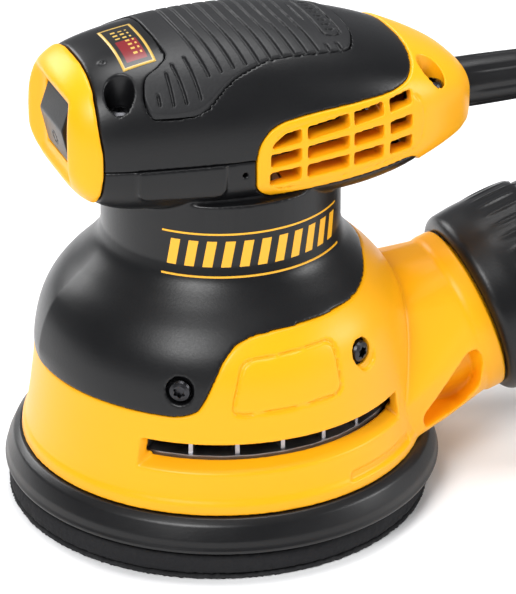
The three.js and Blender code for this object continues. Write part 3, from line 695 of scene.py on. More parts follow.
bezelLine = smoothLine([(-45.4, 90), (-42.9, 106), (-42.2, 116), (-43, 127), (-42.2, 138), (-43.5, 150)], 5)
ventOutline = [
    (-0.8, 104), (2.6, 101.6), (10, 101.8), (24, 102.9), (35, 104.2), (46, 106), (50, 103.5), (52, 90),
    (80, 90), (80, 150), (53, 150), (51.4, 134), (49.4, 130), (46, 127), (40, 125.5), (27, 124.8),
    (16, 124.2), (6.5, 122.9), (2.6, 120.8), (0, 117.4), (-1, 112.6),
]
grilleOutline = [
    (3, 105), (5.5, 103.6), (16, 104), (31, 105.4), (43, 107), (48.6, 108.8), (50, 114.5), (49.5, 121),
    (46.5, 124.2), (39, 123.3), (27, 122.6), (15.8, 122.2), (6.5, 120.7), (3.2, 118), (2.2, 112.7),
]
gripSide = [
    (-21.4, 0), (-21.2, 10), (-20.8, 16), (-24, 18.4), (-29, 20.2), (-30.2, 24.4), (-28.8, 26.6),
    (-23, 27.9), (-16, 28.7), (-12, 28), (-4, 24.8), (6, 22.2), (20, 21), (31, 19.4), (34, 12), (35, 0),
]
gripOutline = [(x, -y) for x, y in gripSide[1:-1]] + gripSide[::-1]


def bezelZone(grow=0.0):
    edge = [(x + grow, z) for x, z in bezelLine]
    return prism("bezelZone", [(-70, 90), *edge, (-70, 150)], -45, 45, "Y")


def ventZone(grow=0.0):
    return prism("ventZone", grown(roundedOutline(ventOutline, 4), grow), -45, 45, "Y")


def cylinder(name, radius, low, high, place=(0, 0), sides=48):
    piece = spun(name, [(0, low), (radius, low), (radius, high), (0, high)], sides)
    return turned(piece, Matrix.Translation((*place, 0)))


coverScrews = {"front": (-36, 20.2, 126), "rear": (55, 19.5, 121)}  # X, Y, seat height


coverPlan = {
    "frontBoss": 5.8, "rearBoss": 5.4, "pocket": 4, "shank": 2, "recessFrom": 126.6, "recessDepth": 1.8,
    "dot": (-37.7, -10.3), "dotRadius": 0.9,
}


def makeTopCover():
    gap = handlePlan["gap"]
    cover = carved(handleForm("top_cover_shell"), [handleForm("inner", handlePlan["wall"])])
    x, y, seat = coverScrews["front"]
    for side in (-1, 1):
        boss = kept(cylinder("boss", coverPlan["frontBoss"], 112, 150, (x, side * y)), [handleForm("outer")])
        joined(cover, [boss])
    recess = prism("recess", grown(roundedOutline(gripOutline, 3), gap), coverPlan["recessFrom"], 160)
    carved(recess, [handleForm("floor", coverPlan["recessDepth"])])
    base = slab("base", 80, handlePlan["parting"] + handlePlan["seam"])
    pockets = [cylinder("pocket", coverPlan["pocket"], seat, 150, (x, side * y)) for side in (-1, 1)]
    shanks = [cylinder("shank", coverPlan["shank"], 90, 150, (x, side * y)) for side in (-1, 1)]
    dot = cylinder("dot", coverPlan["dotRadius"], 138, 150, coverPlan["dot"], 24)
    carved(cover, [recess, base, bezelZone(gap), ventZone(gap), *pockets, *shanks, dot])
    softened(cover, 0.4, 3, 0.4)
    return settled(cover, "housing", blackPlastic, "black_plastic", "top_cover")


def newBuilder(name, numbers, others=()):  # a node tree with named sizes and a finish
    tree = bpy.data.node_groups.new(name, "GeometryNodeTree")
    for label, kind in others:
        tree.interface.new_socket(label, in_out="INPUT", socket_type=kind)
    for label, value in numbers.items():
        kind = "NodeSocketInt" if isinstance(value, int) else "NodeSocketFloat"
        tree.interface.new_socket(label, in_out="INPUT", socket_type=kind).default_value = value
    tree.interface.new_socket("Finish", in_out="INPUT", socket_type="NodeSocketMaterial")
    tree.interface.new_socket("Geometry", in_out="OUTPUT", socket_type="NodeSocketGeometry")
    return tree, tree.nodes.new("NodeGroupInput"), tree.nodes.new("NodeGroupOutput")


def builtFrom(tree, given, result, points, shape, **turn):  # a real, painted copy of the shape at each point
    placed = addNode(tree, "GeometryNodeInstanceOnPoints", {"Points": points, "Instance": shape, **turn})
    real = addNode(tree, "GeometryNodeRealizeInstances", {"Geometry": placed.outputs[0]})
    finish = {"Geometry": real.outputs[0], "Material": given.outputs["Finish"]}
    painted = addNode(tree, "GeometryNodeSetMaterial", finish)
    tree.links.new(painted.outputs[0], result.inputs[0])
    return tree


def makeGrooveTree():  # curved plates in a row, which cut the grip's grooves
    sizes = {"Count": 14, "Pitch": 3.6, "Width": 0.8, "Reach": 24.0, "Bow": 5.2, "Taper": 0.012}
    tree, given, result = newBuilder("gripGrooves", sizes)
    reach, bow = given.outputs["Reach"], given.outputs["Bow"]
    half = addNode(tree, "ShaderNodeCombineXYZ", {"Y": reach})
    other = addNode(tree, "ShaderNodeCombineXYZ", {"Y": times(tree, reach, -1.0)})
    crown = addNode(tree, "ShaderNodeCombineXYZ", {"X": times(tree, bow, -1.0)})
    arc = addNode(tree, "GeometryNodeCurveQuadraticBezier", {
        "Resolution": 24, "Start": half.outputs[0], "Middle": crown.outputs[0], "End": other.outputs[0],
    })
    upright = addNode(tree, "GeometryNodeSetCurveNormal", {"Curve": arc.outputs[0]}, mode="Z_UP")
    blade = {"Width": given.outputs["Width"], "Height": 60.0}
    blade = addNode(tree, "GeometryNodeCurvePrimitiveQuadrilateral", blade)
    plate = addNode(tree, "GeometryNodeCurveToMesh", {
        "Curve": upright.outputs[0], "Profile Curve": blade.outputs[0], "Fill Caps": True,
    })
    step = addNode(tree, "ShaderNodeCombineXYZ", {"X": given.outputs["Pitch"]})
    row = addNode(tree, "GeometryNodeMeshLine", {"Count": given.outputs["Count"], "Offset": step.outputs[0]})
    index = addNode(tree, "GeometryNodeInputIndex").outputs[0]
    narrowing = mathNode(tree, "SUBTRACT", 1.0, times(tree, index, given.outputs["Taper"]))
    size = addNode(tree, "ShaderNodeCombineXYZ", {"X": 1.0, "Y": narrowing, "Z": 1.0})
    return builtFrom(tree, given, result, row.outputs[0], plate.outputs[0], Scale=size.outputs[0])


def setInputs(step, tree, values):
    step.node_group = tree
    for socket in tree.interface.items_tree:
        if socket.item_type == "SOCKET" and socket.in_out == "INPUT" and socket.name in values:
            step[socket.identifier] = values[socket.name]


def grownBy(tree, name, values, material):  # a plain mesh piece from a node tree
    piece = newPiece(name, [(0, 0, 0), (1, 0, 0), (0, 1, 0)], [[0, 1, 2]])
    setInputs(piece.modifiers.new("build", "NODES"), tree, {**values, "Finish": material})
    return applied(piece)


gripPlan = {
    "proud": 0.35, "bottom": 1.5, "from": 127,
    "rows": {"Count": 12, "Pitch": 3.65, "Width": 0.85, "Reach": 24.2, "Bow": 5.2, "Taper": 0.012},
    "firstRow": -11.8, "grooveDepth": 0.75,
    "short": [(-26.5, 24, 26.2), (-22.9, 20.2, 27), (-19.3, 18.4, 27.5), (-15.4, 17.2, 27.6)],
    "patch": [(24.6, -15), (31, -14), (31.4, 14), (24.6, 15)],
    "patchCore": [(25.3, -14.3), (30.3, -13.4), (30.7, 13.4), (25.3, 14.3)],
    "plain": [(22.4, -18.4), (33, -16), (34, 0), (33, 16), (22.4, 18.4)],
}


def makeGrip():
    grip = carved(handleForm("grip_cover", -gripPlan["proud"]), [handleForm("inner", gripPlan["bottom"])])
    kept(grip, [prism("gripZone", roundedOutline(gripOutline, 3), gripPlan["from"], 160)])
    floor = handleForm("floor", gripPlan["grooveDepth"] - gripPlan["proud"])
    grooves = grownBy(makeGrooveTree(), "grooves", gripPlan["rows"], gripRubber)
    turned(grooves, Matrix.Translation((gripPlan["firstRow"], 0, 130)))
    carved(grooves, [floor], keep=[floor])
    cutters = [grooves]
    for x, near, far in gripPlan["short"]:
        start = x - 1.4 * (near < 20)
        corners = [(start - 0.4, near), (start + 0.4, near), (x + 0.4, far), (x - 0.4, far)]
        ends = roundedOutline(corners, 0.35, 3)
        for side in (-1, 1):
            short = prism("short", [(u, side * v) for u, v in ends], 110, 150)
            cutters.append(carved(short, [floor], keep=[floor]))
    cutters[0] = carved(grooves, [prism("plain", roundedOutline(gripPlan["plain"], 2), 120, 150)])
    rim = prism("rim", roundedOutline(gripPlan["patch"], 2.5), 120, 150)
    carved(rim, [prism("core", roundedOutline(gripPlan["patchCore"], 2), 118, 152), floor], keep=[floor])
    bars = []
    for y in range(-12, 12, 3):
        corners = [(26.4, y), (28.6, y), (29.8, y + 1.4), (27.6, y + 1.4)]
        bar = prism("bar", roundedOutline(corners, 0.3), 118, 152)
        bars.append(carved(bar, [floor], keep=[floor]))
    carved(grip, [*cutters, rim, *bars])
    bpy.data.objects.remove(floor)
    softened(grip, 0.26, 2, 0.4)
    return settled(grip, "housing", gripRubber, "grip_rubber", "grip_panel")


def squared(half, low, high):  # four corners in YZ
    return [(-half, low), (half, low), (half, high), (-half, high)]


bezelPlan = {
    "frame": squared(16.4, 104.4, 132), "frameFrom": -53, "frameTo": -45.4,
    "mouth": squared(10.4, 109.2, 127.8), "dish": [(-47.2, 12.4, 107.4, 129), (-54, 23.5, 99, 137)],
}


def makeBezel():
    bezel = carved(handleForm("front_cap", -handlePlan["proud"]), [handleForm("inner", handlePlan["wall"])])
    around = (bezelPlan["frameFrom"], bezelPlan["frameTo"], "X")
    frame = kept(prism("frame", roundedOutline(bezelPlan["frame"], 4), *around), [handleForm("within", 1)])
    joined(bezel, [frame])
    kept(bezel, [bezelZone()])
    dish = hullOf("dish", [
        Vector((x, y, z)) for x, half, low, high in bezelPlan["dish"] for y in (-half, half)
        for z in (low, high)
    ])
    mouth = prism("mouth", roundedOutline(bezelPlan["mouth"], 1), -60, -44, "X")
    carved(bezel, [dish])
    softened(bezel, 0.5, 22)
    carved(bezel, [mouth, rearOfBezel()])
    softened(bezel, 0.42, 3, 0.5)
    return settled(bezel, "housing", yellowPlastic, "yellow_plastic", "front_bezel")


def rearOfBezel():  # trims the eased bezel back to its own outline
    return prism("rear", [*bezelLine[::-1], (-30, 80), (-30, 160)], -45, 45, "Y")


louvreOutline = [
    (3.4, 105.4), (16, 104.6), (31, 106), (48.6, 109.4), (49.4, 114.5), (48.6, 121), (27, 121.8), (7, 120),
    (3.4, 117),
]
grillePlan = {
    "depth": 7, "middle": 24.2, "lines": 0.3, "lineDepth": 0.1,
    "columns": [(2.9, 11.8), (13.6, 26), (27.4, 36.6), (38.6, 45.8)],
    "rows": [(106.7, 0.09), (112, 0.105), (117.2, 0.135)], "half": 1.9,
}


def grilleOpenings():
    openings, half = [], grillePlan["half"]
    for c, (x0, x1) in enumerate(grillePlan["columns"]):
        for r, (base, slope) in enumerate(grillePlan["rows"]):
            box = ((x0, -half), (x1, -half), (x1, half), (x0, half))
            corners = [(u, base + slope * u + v) for u, v in box]
            if c == 0 and r == 2:  # the top front opening loses a corner
                corners[3:] = [(x0 + 4.2, corners[3][1] + 0.4), (x0 + 1.1, corners[3][1] - 2)]
            openings.append(prism("opening", roundedOutline(corners, 0.5, 3), -45, 45, "Y"))
    return openings


def makeVentCover():
    cover = carved(handleForm("vent_shell", -handlePlan["proud"]), [handleForm("inner", handlePlan["wall"])])
    x, y, seat = coverScrews["rear"]
    kept(cover, [ventZone()])
    for side in (-1, 1):
        boss = cylinder("boss", coverPlan["rearBoss"], 113, 150, (x, side * y))
        joined(cover, [kept(boss, [handleForm("outer"), ventZone()])])
    band = carved(handleForm("band", handlePlan["wall"] - 0.2), [handleForm("depth", grillePlan["depth"])])
    kept(band, [prism("window", roundedOutline(louvreOutline, 2), -45, 45, "Y")])
    middle = [(-60, 90), (80, 90), (80, 160), (-60, 160)]
    carved(band, [prism("middle", middle, -grillePlan["middle"], grillePlan["middle"], "Y")])
    joined(cover, [band])
    line, width = roundedOutline(grilleOutline, 2), grillePlan["lines"]
    core = prism("core", grown(line, -width), -46, 46, "Y")
    groove = prism("groove", grown(line, width), -45, 45, "Y")
    carved(groove, [core, handleForm("floor", grillePlan["lineDepth"])])
    cutters = [groove, *grilleOpenings()]
    cutters += [cylinder("pocket", coverPlan["pocket"], seat, 150, (x, side * y)) for side in (-1, 1)]
    cutters += [cylinder("shank", coverPlan["shank"], 100, 150, (x, side * y)) for side in (-1, 1)]
    cutters += [rodOut("exit", 8, 60, 80, 113, 48), rodOut("seat", 8.9, 58, 64.2, 113, 48)]
    carved(cover, cutters)
    softened(cover, 0.36, 2, 0.35)
    return settled(cover, "housing", yellowPlastic, "yellow_plastic", "rear_vent_cover")


bellPlan = {
    "profile": [
        (58.3, 18.3), (56.4, 26), (54.6, 38), (53.4, 49), (52, 56.5), (49.6, 62.5), (45.6, 68), (40, 73.5),
        (35.6, 78.6), (34, 83),
    ],
    "neck": [(34, 92), (34, 101), (0, 101)],
    "neckBore": [(31.4, 84), (31.4, 97), (28.4, 99), (28.4, 104), (0, 104)],
    "foot": 43.6, "wall": 2.6, "lip": 4.9, "keel": 1.9,
    "panel": [(-33.6, 104.2), (-9.7, 103.2), (-9.7, 120), (-33.6, 120)], "panelProud": 0.8,
    "rimRadius": 6, "dotPlace": (-4.2, 0, 109), "dotRadius": 0.8,
}
bellLine = smoothLine(bellPlan["profile"], 5)
shroudOutline = [
    (-70, 10), (90, 10), (90, 73), (37, 73), (34, 71), (28, 69), (15, 68.3), (0, 67.8), (-8, 67), (-13, 65),
    (-16.5, 61.5), (-19, 57), (-22.5, 50), (-24.5, 47.4), (-29, 45.8), (-45, 46), (-70, 44.8),
]


def bellSpan(depth, low, high):
    radii, heights = [r for r, z in bellLine], [z for r, z in bellLine]
    between = [z for z in heights if low < z < high]
    return [(float(np.interp(z, heights, radii)) - depth, z) for z in [low, *between, high]]


def bellKeel(angle, z):  # the two halves of the bell meet in a low ridge at the front
    away = math.pi - abs((angle + math.pi) % (2 * math.pi) - math.pi)
    fade = min(max((z - 44) / 6, 0), 1) * min(max((80 - z) / 14, 0), 1)
    return bellPlan["keel"] * fade * (math.exp(-away / 0.3) - 0.12)


def shroudZone(grow=0.0):
    return prism("shroudZone", grown(roundedOutline(shroudOutline, 3.5), grow), -70, 70, "Y")


def atAngle(piece, degrees):
    return turned(piece, Matrix.Rotation(math.radians(degrees), 4, "Z"))


def rodOut(name, radius, low, high, z, sides=40):  # a rod along +X
    outwards = Matrix.Translation((0, 0, z)) @ Matrix.Rotation(math.pi / 2, 4, "Y")
    return turned(cylinder(name, radius, low, high, sides=sides), outwards)


screwPlan = {  # the shroud's screws: radius on the bell, angle either side of +X, height
    "front": (49.6, 61, 56.5), "rear": (50.8, 122.6, 53.6), "seat": 3.9,
}


def makeMotorHousing():
    gap, wall, foot = handlePlan["gap"], bellPlan["wall"], bellPlan["foot"]
    below = handlePlan["parting"] - handlePlan["seam"]
    case = [(0, foot), *bellSpan(0, foot, 83), *bellPlan["neck"]]
    housing = spun("motor_case", case, 192, bellKeel)
    lower = kept(handleForm("lower"), [slab("low", 60, below)])
    panel = prism("panel", roundedOutline(bellPlan["panel"], 3.2, 8), -45, 45, "Y")
    kept(panel, [handleForm("raised", -bellPlan["panelProud"]), slab("below", 60, below)])
    joined(housing, [lower, panel])
    bore = [(0, 40), *bellSpan(bellPlan["lip"], 40, 70), *bellSpan(wall, 74, 83), *bellPlan["neckBore"]]
    inner = spun("inner", bore, 128)
    hollow = kept(handleForm("hollow", handlePlan["wall"]), [slab("low2", 60, 130)])
    ledge = spun("ledge", [*bellSpan(-3, 30, 83), *reversed(bellSpan(wall + gap, 30, 83))], 128)
    kept(ledge, [shroudZone(gap)])
    carved(housing, [inner, hollow, ledge, bezelZone(gap), ventZone(gap)])
    cutters, (_, angle, height) = [], screwPlan["rear"]
    for side in (-1, 1):
        cutters.append(atAngle(rodOut("seat", screwPlan["seat"], 50.4, 70, height), side * angle))
        rim = carved(rodOut("rim", bellPlan["rimRadius"], 51.6, 70, 53), [rodOut("core", 5.4, 50, 71, 53)])
        cutters.append(atAngle(rim, side * angle))
        sideways = Matrix.Translation(bellPlan["dotPlace"]) @ Matrix.Rotation(side * math.pi / 2, 4, "X")
        cutters.append(turned(cylinder("dot", bellPlan["dotRadius"], 28, 40, sides=24), sideways))
    carved(housing, cutters)
    softened(housing, 0.44, 6, 0.22)
    return settled(housing, "housing", blackPlastic, "black_plastic", "motor_housing")


portPlan = {"centre": (77, 0, 40.5), "tilt": 18.5, "bore": 17, "ringRadius": 24.2, "ringAt": -4.6}
portTurn = Matrix.Rotation(math.radians(90 - portPlan["tilt"]), 4, "Y")
portPlace = Matrix.Translation(portPlan["centre"]) @ portTurn
funnelSide = [
    (41, 36, 29.5), (41, 36, 19), (46, 34, 18.6), (59, 26, 18.6), (67, 20.5, 19.4), (72.6, 18, 25),
    (71.5, 20, 39), (68, 20, 49.5), (62, 9, 58), (50, 5, 60), (46, 14, 56.6), (38, 22, 52),
]
pocketOutline = [
    (51, 21.6), (66, 22.2), (70.6, 26), (71, 35.4), (69.4, 38.6), (66.6, 38.4), (61, 33.4), (55.4, 28.2),
    (50.6, 24.4),
]


def easedBlend(piece, near, far, passes):  # widens the fillets where the funnel meets the bell
    group = piece.vertex_groups.new(name="blend")
    for v in piece.data.vertices:
        weight = min(max((v.co.x - near) / (far - near), 0), 1)
        if weight > 0 and v.co.x < 70:
            group.add([v.index], weight, "REPLACE")
    step = piece.modifiers.new("blend", "SMOOTH")
    step.factor, step.iterations, step.vertex_group = 0.5, passes, "blend"
    return applied(piece)


panelOutline = [(-15.7, 47), (17.4, 48.1), (15.5, 63.3), (-11.7, 61.8)]


ductProfile = [
    (0, -34), (20.6, -34), (20.6, -9), (24.3, -6.5), (25, -5), (25, -0.4), (24.6, 0), (20, 0.2), (20, 18),
    (0, 18),
]
slotPlan = {
    "slot": [(47.6, 33.2), (51, 32.8), (60, 27.6), (60, 38.4), (47.6, 38.4)],
    "slotSector": [(0, 0), onRing(51.5, -132), onRing(62, -139), (0, -160), onRing(110, -45)],
    "lip": [(51.2, 29), (54.6, 26.4), (54.6, 33.4), (51.2, 33.4)],
    "lipSector": [(0, 0), onRing(110, -137), (0, -160), onRing(110, -42)],
    "wedge": [(56.6, 21.4), (61, 20.6), (61, 24.4), (56.2, 24)],
    "wedgeOutline": [(14, -60), (40, -48), (43.6, -37.6), (34, -34)],
}


def makeFunnel():  # sweeps out of the bell to the port, with a pocket in each side
    rim = []
    for i in range(48):
        around = portPlace @ Matrix.Rotation(2 * math.pi * i / 48, 4, "Z")
        rim.append(around @ Vector((portPlan["ringRadius"], 0, portPlan["ringAt"])))
    corners = [Vector((x, side * y, z)) for side in (-1, 1) for x, y, z in funnelSide]
    funnel = hullOf("funnel", [*corners, *rim])
    pocket = roundedOutline(grown(pocketOutline, 1), 2)
    return carved(funnel, [prism("pocket", pocket, 17.4, 50, "Y"), prism("pocket", pocket, -50, -17.4, "Y")])


def makeShroud():
    wall = bellPlan["wall"]
    shroud = spun("dust_shell", [(0, 18.3), *bellSpan(0, 18.3, 76), (0, 76)], 192)
    kept(shroud, [shroudZone()])
    funnel = makeFunnel()
    duct = turned(spun("duct", ductProfile, 96), portPlace)
    plate = spun("plate", [(0, 18.3), (58.3, 18.3), (58, 21), (57.6, 22), (0, 22)], 160)
    joined(shroud, [funnel, duct, plate])
    core = spun("core", [(0, 5), *bellSpan(wall, 18.3, 78), (0, 78)], 128)
    room = [(0, 5), (66, 5), (66, 18.3), (54.6, 18.3), (54.6, 22.4), (0, 22.4)]
    skirtRoom = spun("skirtRoom", room, 128)
    bore = turned(cylinder("bore", portPlan["bore"], -42, 30, sides=96), portPlace)
    slot = spun("slot", slotPlan["slot"], 160)
    kept(slot, [prism("sector", slotPlan["slotSector"], 20, 50)])
    lip = spun("lip", slotPlan["lip"], 160)
    kept(lip, [prism("sector", slotPlan["lipSector"], 20, 50)])
    carved(shroud, [core, skirtRoom, bore])
    joined(shroud, [lip])
    carved(shroud, [slot])
    panel = roundedOutline(panelOutline, 3.4)
    panelGroove = prism("panelGroove", grown(panel, 0.5), -70, -20, "Y")
    floor = spun("floor", [(0, 18), *bellSpan(0.9, 18.3, 76), (0, 78)], 160)
    carved(panelGroove, [prism("core", grown(panel, -0.5), -71, -19, "Y"), floor])
    cutters, seat = [panelGroove], screwPlan["seat"]
    (_, front, height), (_, rear, rearHeight) = screwPlan["front"], screwPlan["rear"]
    for side in (-1, 1):
        cutters.append(atAngle(rodOut("seat", seat, 40, 70, height), side * front))
        lead = turned(rodOut("lead", seat, 51.6, 70, height), Matrix.Translation((0, 0, -1.6)))
        cutters.append(atAngle(lead, side * (front - 1.5)))
        cutters.append(atAngle(rodOut("shank", 1.9, 40, 70, rearHeight), side * rear))
    wedge = kept(spun("wedge", slotPlan["wedge"], 160), [prism("taper", slotPlan["wedgeOutline"], 10, 40)])
    carved(shroud, [*cutters, wedge])
    softened(shroud, 0.42, 5)
    easedBlend(shroud, 44, 56, 10)
    thinned(shroud, 0.25)
    applied(shroud)
    return settled(shroud, "housing", yellowPlastic, "yellow_plastic", "dust_shroud")


skirtProfile = [
    (51.8, 22), (51.8, 14.6), (50, 14.1), (50, 13.1), (60.4, 13.1), (61.7, 8.7), (62.9, 8.7), (63.5, 9.6),
    (63, 10.7), (62.6, 12.6), (60.8, 16.5), (59, 18), (54, 18), (54, 22),
]


def makeSkirt():
    skirt = spun("skirt_ring", roundedOutline(skirtProfile, 0.5, 3), 192)
    return settled(skirt, "housing", blackRubber, "black_rubber", "brake_skirt")


padPlan = {"offset": -1.2, "radius": 61.5, "holeRing": 32.5, "hole": 5, "access": 4.4, "accessRing": 11.5}


def punched(piece, low, high):
    ring, accessRing = padPlan["holeRing"], padPlan["accessRing"]
    holes = [cylinder("hole", padPlan["hole"], low, high, onRing(ring, 45 * i), 32) for i in range(8)]
    for i in range(3):
        place = onRing(accessRing, 60 + 120 * i)
        holes.append(cylinder("access", padPlan["access"], low, high, place, 24))
    carved(piece, holes)
    return turned(piece, Matrix.Translation((padPlan["offset"], 0, 0)))


def fuzzed(piece, size, strength, inner):  # torn foam cells or nap at the rim
    group = piece.vertex_groups.new(name="rim")
    rim = [v.index for v in piece.data.vertices if math.hypot(v.co.x, v.co.y) > inner]
    group.add(rim, 1, "REPLACE")
    texture = bpy.data.textures.new("nap", "CLOUDS")
    texture.noise_scale, texture.noise_depth = size, 3
    step = piece.modifiers.new("nap", "DISPLACE")
    step.texture, step.strength, step.mid_level, step.vertex_group = texture, strength, 0.55, "rim"
    step.texture_coords = "LOCAL"
    applied(piece)
    for v in piece.data.vertices:
        v.co.z = max(v.co.z, 0)  # the nap lies flat on the floor
    return piece


def makePad():
    r = padPlan["radius"]
    foam = spun("foam_cushion", [
        (0, 1.5), (20, 1.5), (40, 1.5), (55, 1.5), (r - 1.3, 1.5), (r - 0.6, 1.9), (r - 0.3, 2.6),
        (r - 0.2, 3.6), (r - 0.2, 4.8), (r - 0.3, 6), (r - 0.7, 7.1), (r - 1.6, 7.6), (57.6, 7.7),
        (57.2, 9.2), (55, 9.2), (40, 9.2), (20, 9.2), (0, 9.2),
    ], 720)
    fuzzed(foam, 0.8, 0.9, r - 1.6)
    punched(foam, 0, 11)
    settled(foam, "pad", padFoam, "pad_foam", "foam_pad")
    face = spun("hook_disc", [
        (0, 0), (30, 0), (50, 0), (r - 1.2, 0), (r - 0.5, 0.15), (r - 0.2, 0.5), (r - 0.3, 0.9),
        (r - 0.8, 1.2), (50, 1.2), (30, 1.2), (0, 1.2),
    ], 720)
    fuzzed(face, 0.6, 1.1, r - 1.5)
    punched(face, -2, 3)
    settled(face, "pad", hookFabric, "hook_fabric", "hook_face")


rockerPlan = {
    "side": [
        (-41.2, 114), (-42.6, 109.7), (-47, 109.7), (-49.3, 119.8), (-46.6, 127.3), (-42.6, 127.3),
        (-41.2, 123),
    ],
    "half": 9.9, "markPlace": (-48.1, 0, 114.4), "markLean": -107, "markRadii": (2.1, 1.5),
}


def makeRocker():  # with an engraved ring for its off side
    side, half = roundedOutline(rockerPlan["side"], 0.35, 4), rockerPlan["half"]
    rocker = prism("rocker_key", side, -half, half, "Y")
    lean = Matrix.Rotation(math.radians(rockerPlan["markLean"]), 4, "Y")
    outer, inner = rockerPlan["markRadii"]
    mark = carved(cylinder("mark", outer, -0.6, 3, sides=40), [cylinder("core", inner, -2, 4, sides=40)])
    carved(rocker, [turned(mark, Matrix.Translation(rockerPlan["markPlace"]) @ lean)])
    softened(rocker, 0.28, 2, 0.6)
    return settled(rocker, "switch", blackPlastic, "black_plastic", "switch_rocker")


def makeRibTree():  # ribs round part of a ring
    sizes = {"Count": 13, "Sweep": 2.2, "Radius": 28.6, "Length": 17.0, "Width": 1.1}
    tree, given, result = newBuilder("collarRibs", sizes)
    sweep, width = given.outputs["Sweep"], given.outputs["Width"]
    arc = addNode(tree, "GeometryNodeCurveArc", {
        "Resolution": given.outputs["Count"], "Radius": given.outputs["Radius"], "Sweep Angle": sweep,
        "Start Angle": mathNode(tree, "SUBTRACT", math.pi, times(tree, sweep, 0.5)),
    })
    rib = addNode(tree, "GeometryNodeMeshUVSphere", {"Segments": 12, "Rings": 16, "Radius": width})
    stretch = mathNode(tree, "DIVIDE", times(tree, given.outputs["Length"], 0.5), width)
    size = addNode(tree, "ShaderNodeCombineXYZ", {"X": 1.0, "Y": 1.0, "Z": stretch})
    return builtFrom(tree, given, result, arc.outputs[0], rib.outputs[0], Scale=size.outputs[0])


collarPlan = {
    "profile": [
        (23.1, 0.4), (26.4, 0.4), (28.2, 2.2), (28.8, 9), (28.8, 27), (25.2, 28.2), (25.2, 34), (18.5, 34),
        (18.5, 18.4), (23.1, 18.4),
    ],
    "ribs": {"Count": 15, "Sweep": 2.4, "Radius": 28.2, "Length": 18.0, "Width": 1.0}, "ribsAt": 19,
}


def makeCollar():
    collar = spun("collar_ring", roundedOutline(collarPlan["profile"], 1.4, 4), 160)
    ribs = grownBy(makeRibTree(), "ribs", collarPlan["ribs"], blackPlastic)
    turned(ribs, Matrix.Translation((0, 0, collarPlan["ribsAt"])))
    joined(collar, [ribs])
    turned(collar, portPlace)
    softened(collar, 0.45, 3, 0.6)
    return settled(collar, "bag", blackPlastic, "black_plastic", "bag_collar")


pouchPlan = {
    "around": 72, "rows": 60, "start": 27.6, "end": 131, "mouth": 25.7, "belly": 27.4, "pinch": 23.6,
    "cloth": 0.7, "frames": 18, "pressure": 1.1, "piping": 0.9,
    "band": [(25.4, 27.9), (26.6, 27.9), (27, 28.6), (27, 33), (26.6, 33.6), (25.4, 33.6)],
}


def pouchSection(share):  # half height and half width of the bag at a share of its length
    swell = pouchPlan["mouth"] + (pouchPlan["belly"] - pouchPlan["mouth"]) * min(share / 0.15, 1)
    close = max((share - 0.45) / 0.55, 0)
    tall = swell * math.sqrt(max(1 - close**2.1, 0)) + 0.55
    wide = swell + (pouchPlan["pinch"] - swell) * close**2
    return tall, wide


def simulated(pouch, around, rows):  # sags and swells while its mouth and its pinched end stay put
    group = pouch.vertex_groups.new(name="held")
    held = [i for i in range(len(pouch.data.vertices)) if i // around < 3 or i // around > rows - 5]
    group.add(held, 1, "REPLACE")
    pouch.data.transform(Matrix.Scale(0.01, 4))
    step = pouch.modifiers.new("cloth", "CLOTH")
    settings = step.settings
    settings.quality, settings.mass, settings.vertex_group_mass = 8, 0.25, "held"
    settings.tension_stiffness, settings.compression_stiffness, settings.bending_stiffness = 12, 8, 0.08
    settings.use_pressure, settings.uniform_pressure_force = True, pouchPlan["pressure"]
    settings.shrink_min = -0.06
    settings.effector_weights.gravity = 0.35
    step.collision_settings.use_collision = False
    scene.frame_start, scene.frame_end = 1, pouchPlan["frames"]
    for number in range(1, pouchPlan["frames"] + 1):
        scene.frame_set(number)
    applied(pouch)
    scene.frame_set(1)
    pouch.data.transform(Matrix.Scale(100, 4))
    return pouch


def makePouch():
    around, rows, points = pouchPlan["around"], pouchPlan["rows"], []
    for r in range(rows + 1):
        share = r / rows
        tall, wide = pouchSection(share)
        s = pouchPlan["start"] + (pouchPlan["end"] - pouchPlan["start"]) * share
        for i in range(around):
            angle = 2 * math.pi * i / around
            points.append((tall * math.cos(angle), wide * math.sin(angle), s))
    mesh = bpy.data.meshes.new("bag_cloth")
    mesh.from_pydata([tuple(portPlace @ Vector(p)) for p in points], [], ringFaces(rows, around))
    pouch = linked("bag_cloth", mesh)
    weave = mesh.uv_layers.new(name="weave")
    for n, polygon in enumerate(mesh.polygons):
        r, i = divmod(n, around)
        for loop, (dr, di) in zip(polygon.loop_indices, ((0, 0), (0, 1), (1, 1), (1, 0))):
            weave.data[loop].uv = ((i + di) * 2 * math.pi * 27 / around * mm, (r + dr) * 1.72 * mm)
    simulated(pouch, around, rows)
    rest = [v.co.copy() for v in pouch.data.vertices]
    thick = pouch.modifiers.new("thick", "SOLIDIFY")
    thick.thickness, thick.offset = pouchPlan["cloth"], 0
    fine = pouch.modifiers.new("fine", "SUBSURF")
    fine.levels = fine.render_levels = 1
    applied(pouch)
    settled(pouch, "bag", bagCloth, "bag_fabric", "bag_pouch")
    edges = (around // 4, 3 * around // 4)
    return pouch, [[rest[r * around + i] for r in range(2, rows - 1)] for i in edges]


def tubeAlong(name, line, radius, sides=10):
    points = []
    for k, place in enumerate(line):
        ahead = (line[min(k + 1, len(line) - 1)] - line[max(k - 1, 0)]).normalized()
        across = ahead.cross(Vector((0, 1, 0)) if abs(ahead.y) < 0.9 else Vector((0, 0, 1))).normalized()
        up = ahead.cross(across)
        for i in range(sides):
            t = 2 * math.pi * i / sides
            points.append(place + radius * (math.cos(t) * across + math.sin(t) * up))
    return newPiece(name, points, tubeFaces(len(line) - 1, sides))


